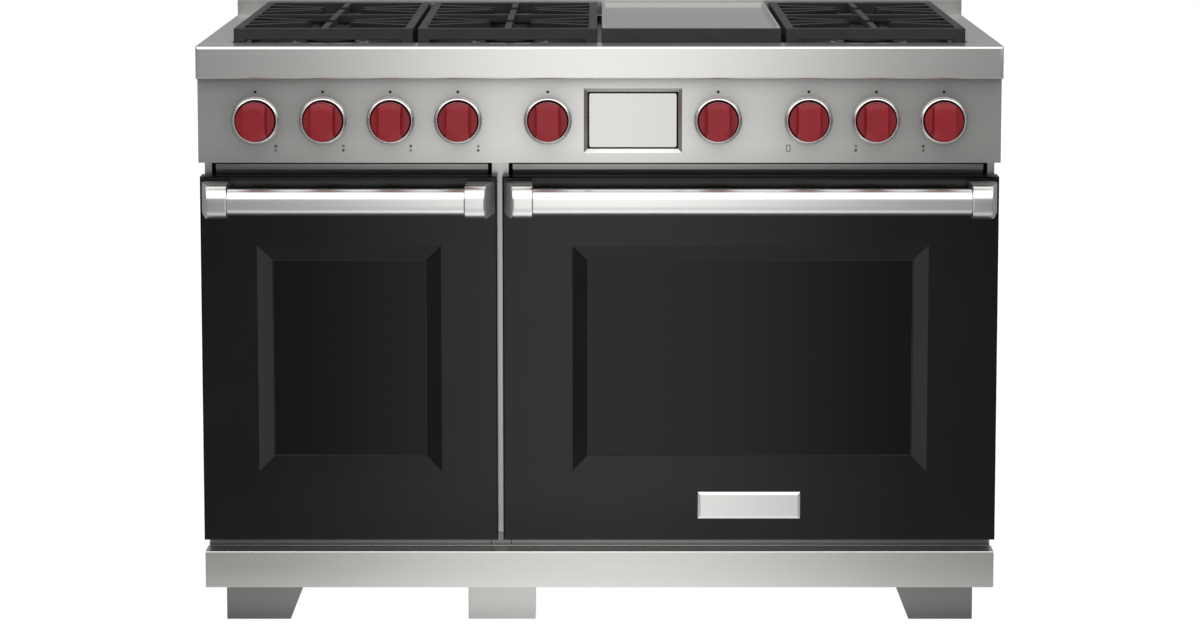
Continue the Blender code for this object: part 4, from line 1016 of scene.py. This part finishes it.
# ---------------------------------------------------------------- oven inside
def make_oven_inside(side):
    low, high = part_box(f"{side}_oven_cavity")
    t = 0.0015
    x0, x1, z0, z1 = low.x + t, high.x - t, low.z + t, high.z - t
    rear = high.y - t
    cx, cz = (x0 + x1) / 2, (z0 + z1) / 2
    make_fan_cover(side, cx, cz, rear)
    lift = z1 - 0.022
    loops_count = 3 if side == "left" else 6
    y0, y1 = low.y + 0.060, rear - 0.050
    points = []
    step = (x1 - x0 - 0.08) / (loops_count * 2 - 1)
    for k in range(loops_count * 2):
        x = x0 + 0.04 + step * k
        ends = (y1, y0) if k % 2 == 0 else (y0, y1)
        for j in range(9):
            points.append((x, ends[0] + (ends[1] - ends[0]) * j / 8, lift))
        if k < loops_count * 2 - 1:
            lean = -1 if ends[1] == y0 else 1
            for j in range(1, 6):
                turn = math.pi * j / 6
                points.append((x + step / 2 - step / 2 * math.cos(turn),
                               ends[1] + lean * step / 2 * math.sin(turn), lift))
    new_piece(f"{side}_broil_element", pipe(points, 0.0035, 12), "element", "range_body")
    for i, y in enumerate((y0 + 0.06, y1 - 0.06)):
        bm = block((x0 + 0.03, y - 0.0015, lift + 0.0040), (x1 - 0.03, y + 0.0015, z1 - 0.0003))
        new_piece(f"{side}_element_hanger_{i}", bm, "screw_steel", "range_body",
                  0.0004)
    lens = [(0.026, 0.0003), (0.026, 0.0030), (0.022, 0.0070), (0.008, 0.0082)]
    for i, (lx, lz) in enumerate(((x0 + 0.052, z1 - 0.062), (x1 - 0.052, z1 - 0.062))):
        bm = lathe([(r, -h) for r, h in lens], (lx, rear, lz), "Y", 40)
        new_piece(f"{side}_oven_lamp_{i}", bm, "lamp_glass", "range_body", 0.0, 2, 40)
        rim = [(0.0275, -0.0003), (0.0310, -0.0003), (0.0310, -0.0024), (0.0275, -0.0036)]
        new_piece(f"{side}_lamp_rim_{i}", lathe(rim, (lx, rear, lz), "Y", 40, closed=True),
                  "screw_steel", "range_body", 0.0003)


def make_fan_cover(side, cx, cz, rear):
    """A raised round cover with slots on the rear wall."""
    radius = 0.085 if side == "left" else 0.105
    high = 0.020
    cz -= 0.03
    profile = [(radius, rear - 0.0003), (radius, rear - high + 0.006), (radius - 0.006, rear - high),
               (0.020, rear - high)]
    item = raw_object("cover", lathe(profile, (cx, 0, cz), "Y", 72))
    levels = [Vector((0, y, 0)) for y in (rear - high - 0.002, rear - high + 0.004)]
    reaches = (radius * 0.36, radius * 0.84)
    centre = Vector((cx, 0, cz))
    carve(item, [radial_slots(centre, turn_upright, levels, reaches, 0.0028, FAN_SLOTS)])
    item.name = f"{side}_fan_cover"
    dress_carved(item, "oven_enamel", "range_body")
    make_screw(f"{side}_fan_screw", (cx, rear - high - 0.0003, cz), "Y", -1, 0.0045, "range_body")


# ---------------------------------------------------------------- back and sides
def make_back_details():
    """Screws and louvres on the back."""
    low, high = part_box("back_panel")
    face = high.y
    index = 0
    for z in (low.z + 0.03, (low.z + high.z) / 2, high.z - 0.09):
        for x in (-0.588, -0.30, 0.0, 0.30, 0.588):
            make_screw(f"back_screw_{index}", (x, face + 0.0003, z), "Y", 1, 0.0045, "range_body")
            index += 1
    for row in range(5):
        z = 0.56 + row * 0.024
        for column in range(4):
            x = -0.42 + column * 0.20
            outline = [(0.0003, z), (0.0014, z + 0.001), (0.0014, z + 0.006), (0.0003, z + 0.012)]
            bm = bmesh.new()
            rings = [[bm.verts.new((xx, face + d, zz)) for d, zz in outline]
                     for xx in (x, x + 0.13)]
            skin_rings(bm, rings)
            new_piece(f"back_louvre_{row}_{column}", bm, "zinc_steel", "range_body",
                      0.0002)


# ---------------------------------------------------------------- studio
CARD_HALF = 1.7
CARD_PLACE = -1.25
CARD_STRENGTH = 1.22
CARD_LEVELS = ((0.10, 1.0), (0.30, 0.74), (0.50, 0.31), (0.75, 0.215), (1.0, 0.20))
FLOOR_LEVELS = ((0.10, 0.76), (0.30, 0.60), (0.50, 0.34), (0.75, 0.24), (1.0, 0.21))
FLOOR_WHITE = 0.97
BAND_EDGES = ((-0.66, -0.60), (-0.31, -0.35))
BAND_LEVELS = ((0.10, 1.0), (0.30, 0.90), (0.50, 0.62), (0.75, 0.50), (1.0, 0.46))
TOP_CARD = 2.1
SKY_TOP = 1.35
SKY_SIDE = 0.42
CAMERA_AWAY = 5.84
CAMERA_HIGH = 1.347
CAMERA_PITCH = 7.51
CAMERA_LENS = 116.8
CAMERA_SHIFT = -0.045
SENSOR = 36.0


def make_floor():
    mesh = bpy.data.meshes.new("floor")
    bm = bmesh.new()
    bmesh.ops.create_grid(bm, x_segments=1, y_segments=1, size=14.0)
    bm.to_mesh(mesh)
    bm.free()
    floor = bpy.data.objects.new("floor", mesh)
    floor.location = (0, 0, -0.0008)
    bpy.context.scene.collection.objects.link(floor)
    mesh.materials.append(floor_material())


def across_ramp(tree, levels):
    """Brightness that falls off to both sides of the middle."""
    coords = tree.nodes.new("ShaderNodeTexCoord")
    split = tree.nodes.new("ShaderNodeSeparateXYZ")
    size = tree.nodes.new("ShaderNodeMath")
    size.operation = "ABSOLUTE"
    ramp = tree.nodes.new("ShaderNodeValToRGB")
    ramp.color_ramp.interpolation = "B_SPLINE"
    stops = ramp.color_ramp.elements
    for i, (place, level) in enumerate(levels):
        stop = stops[i] if i < 2 else stops.new(place)
        stop.position = place
        stop.color = (level, level, level * 0.99, 1.0)
    tree.links.new(coords.outputs["Object"], split.inputs["Vector"])
    tree.links.new(split.outputs["X"], size.inputs[0])
    tree.links.new(size.outputs["Value"], ramp.inputs["Fac"])
    return ramp.outputs["Color"]


def near_band(tree, colour):
    """Lift a colour in a band of floor just in front of the doors."""
    coords = tree.nodes.new("ShaderNodeTexCoord")
    split = tree.nodes.new("ShaderNodeSeparateXYZ")
    tree.links.new(coords.outputs["Object"], split.inputs["Vector"])
    edges = []
    for start, stop in BAND_EDGES:
        edge = tree.nodes.new("ShaderNodeMapRange")
        edge.interpolation_type = "SMOOTHSTEP"
        edge.inputs["From Min"].default_value = start
        edge.inputs["From Max"].default_value = stop
        tree.links.new(split.outputs["Y"], edge.inputs["Value"])
        edges.append(edge.outputs["Result"])
    band = tree.nodes.new("ShaderNodeMath")
    band.operation = "MULTIPLY"
    tree.links.new(edges[0], band.inputs[0])
    tree.links.new(edges[1], band.inputs[1])
    lift = tree.nodes.new("ShaderNodeMix")
    lift.data_type = "RGBA"
    tree.links.new(band.outputs["Value"], lift.inputs["Factor"])
    tree.links.new(colour, lift.inputs["A"])
    tree.links.new(across_ramp(tree, BAND_LEVELS), lift.inputs["B"])
    return lift.outputs["Result"]


def floor_material():
    """White to the camera with a faint contact shade; mirrored, it dims to both sides."""
    material = bpy.data.materials.new("floor")
    material.use_nodes = True
    tree = material.node_tree
    tree.nodes.clear()
    path = tree.nodes.new("ShaderNodeLightPath")
    shade = tree.nodes.new("ShaderNodeBsdfDiffuse")
    shade.inputs["Color"].default_value = (0.16, 0.16, 0.16, 1.0)
    white = tree.nodes.new("ShaderNodeEmission")
    white.inputs["Strength"].default_value = FLOOR_WHITE
    lit = tree.nodes.new("ShaderNodeAddShader")
    glow = tree.nodes.new("ShaderNodeEmission")
    glow.inputs["Strength"].default_value = CARD_STRENGTH
    mirrored = tree.nodes.new("ShaderNodeMixShader")
    output = tree.nodes.new("ShaderNodeOutputMaterial")
    tree.links.new(near_band(tree, across_ramp(tree, FLOOR_LEVELS)), glow.inputs["Color"])
    tree.links.new(shade.outputs["BSDF"], lit.inputs[0])
    tree.links.new(white.outputs["Emission"], lit.inputs[1])
    tree.links.new(path.outputs["Is Glossy Ray"], mirrored.inputs["Fac"])
    tree.links.new(lit.outputs["Shader"], mirrored.inputs[1])
    tree.links.new(glow.outputs["Emission"], mirrored.inputs[2])
    tree.links.new(mirrored.outputs["Shader"], output.inputs["Surface"])
    return material


def glow_sheet(name, corners, strength, levels=None):
    """A bright sheet that shows only in reflections."""
    mesh = bpy.data.meshes.new(name)
    bm = bmesh.new()
    bm.faces.new([bm.verts.new(c) for c in corners])
    bm.to_mesh(mesh)
    bm.free()
    card = bpy.data.objects.new(name, mesh)
    bpy.context.scene.collection.objects.link(card)
    material = bpy.data.materials.new(name)
    material.use_nodes = True
    tree = material.node_tree
    tree.nodes.clear()
    glow = tree.nodes.new("ShaderNodeEmission")
    glow.inputs["Strength"].default_value = strength
    output = tree.nodes.new("ShaderNodeOutputMaterial")
    if levels:
        tree.links.new(across_ramp(tree, levels), glow.inputs["Color"])
    tree.links.new(glow.outputs["Emission"], output.inputs["Surface"])
    mesh.materials.append(material)
    for kind in ("camera", "diffuse", "transmission", "volume_scatter", "shadow"):
        setattr(card, f"visible_{kind}", False)


def make_cards():
    """A soft reflector before the range, and a bright sloping one above it."""
    half, front, join = CARD_HALF, CARD_PLACE, 1.22
    glow_sheet("card", [(-half, front, 0.0), (half, front, 0.0), (half, front, join),
                        (-half, front, join)], CARD_STRENGTH, CARD_LEVELS)
    near, far, low, high = -1.24, -0.55, 1.26, 2.3
    glow_sheet("top_card", [(-half, near, low), (half, near, low), (half, far, high),
                            (-half, far, high)], TOP_CARD)


def make_world():
    """White to the camera; to the object, a bright ceiling and dimmer walls."""
    world = bpy.data.worlds.new("studio")
    bpy.context.scene.world = world
    world.use_nodes = True
    tree = world.node_tree
    tree.nodes.clear()
    coords = tree.nodes.new("ShaderNodeTexCoord")
    split = tree.nodes.new("ShaderNodeSeparateXYZ")
    rise = tree.nodes.new("ShaderNodeMapRange")
    rise.interpolation_type = "SMOOTHSTEP"
    rise.inputs["From Min"].default_value = 0.45
    rise.inputs["From Max"].default_value = 0.78
    rise.inputs["To Min"].default_value = SKY_SIDE
    rise.inputs["To Max"].default_value = SKY_TOP
    sky = tree.nodes.new("ShaderNodeBackground")
    white = tree.nodes.new("ShaderNodeBackground")
    white.inputs["Color"].default_value = (1.0, 1.0, 1.0, 1.0)
    white.inputs["Strength"].default_value = 1.0
    path = tree.nodes.new("ShaderNodeLightPath")
    mix = tree.nodes.new("ShaderNodeMixShader")
    output = tree.nodes.new("ShaderNodeOutputWorld")
    tree.links.new(coords.outputs["Generated"], split.inputs["Vector"])
    tree.links.new(split.outputs["Z"], rise.inputs["Value"])
    tree.links.new(rise.outputs["Result"], sky.inputs["Strength"])
    tree.links.new(path.outputs["Is Camera Ray"], mix.inputs["Fac"])
    tree.links.new(sky.outputs["Background"], mix.inputs[1])
    tree.links.new(white.outputs["Background"], mix.inputs[2])
    tree.links.new(mix.outputs["Shader"], output.inputs["Surface"])


def make_camera():
    """A camera in front of the range, above its top and pitched down at it."""
    data = bpy.data.cameras.new("camera")
    camera = bpy.data.objects.new("camera", data)
    bpy.context.scene.collection.objects.link(camera)
    camera.location = (0.0007, back(0.0) - CAMERA_AWAY, CAMERA_HIGH)
    camera.rotation_euler = (math.radians(90.0 - CAMERA_PITCH), 0.0, 0.0)
    data.sensor_width = SENSOR
    data.lens = CAMERA_LENS
    data.shift_y = CAMERA_SHIFT
    data.clip_start = 0.1
    data.clip_end = 60.0
    bpy.context.scene.camera = camera


def main():
    make_camera()
    dress_solids()
    for index, name in enumerate(KNOBS):
        make_knob(name)
        make_bezel(name)
        make_marks(name, index)
    for side in SIDES:
        make_bar(side)
        for end in SIDES:
            make_bracket(side, end)
        make_window_border(side)
        make_edge_shade(side)
        make_oven_inside(side)
    make_badge()
    make_vent_deflectors()
    make_frame_screws()
    for name in burner_nodes():
        make_burner(name)
    make_griddle_details()
    make_display_gap_shade()
    make_back_details()
    make_world()
    make_floor()
    make_cards()
    bpy.context.scene.view_settings.view_transform = "Standard"


main()
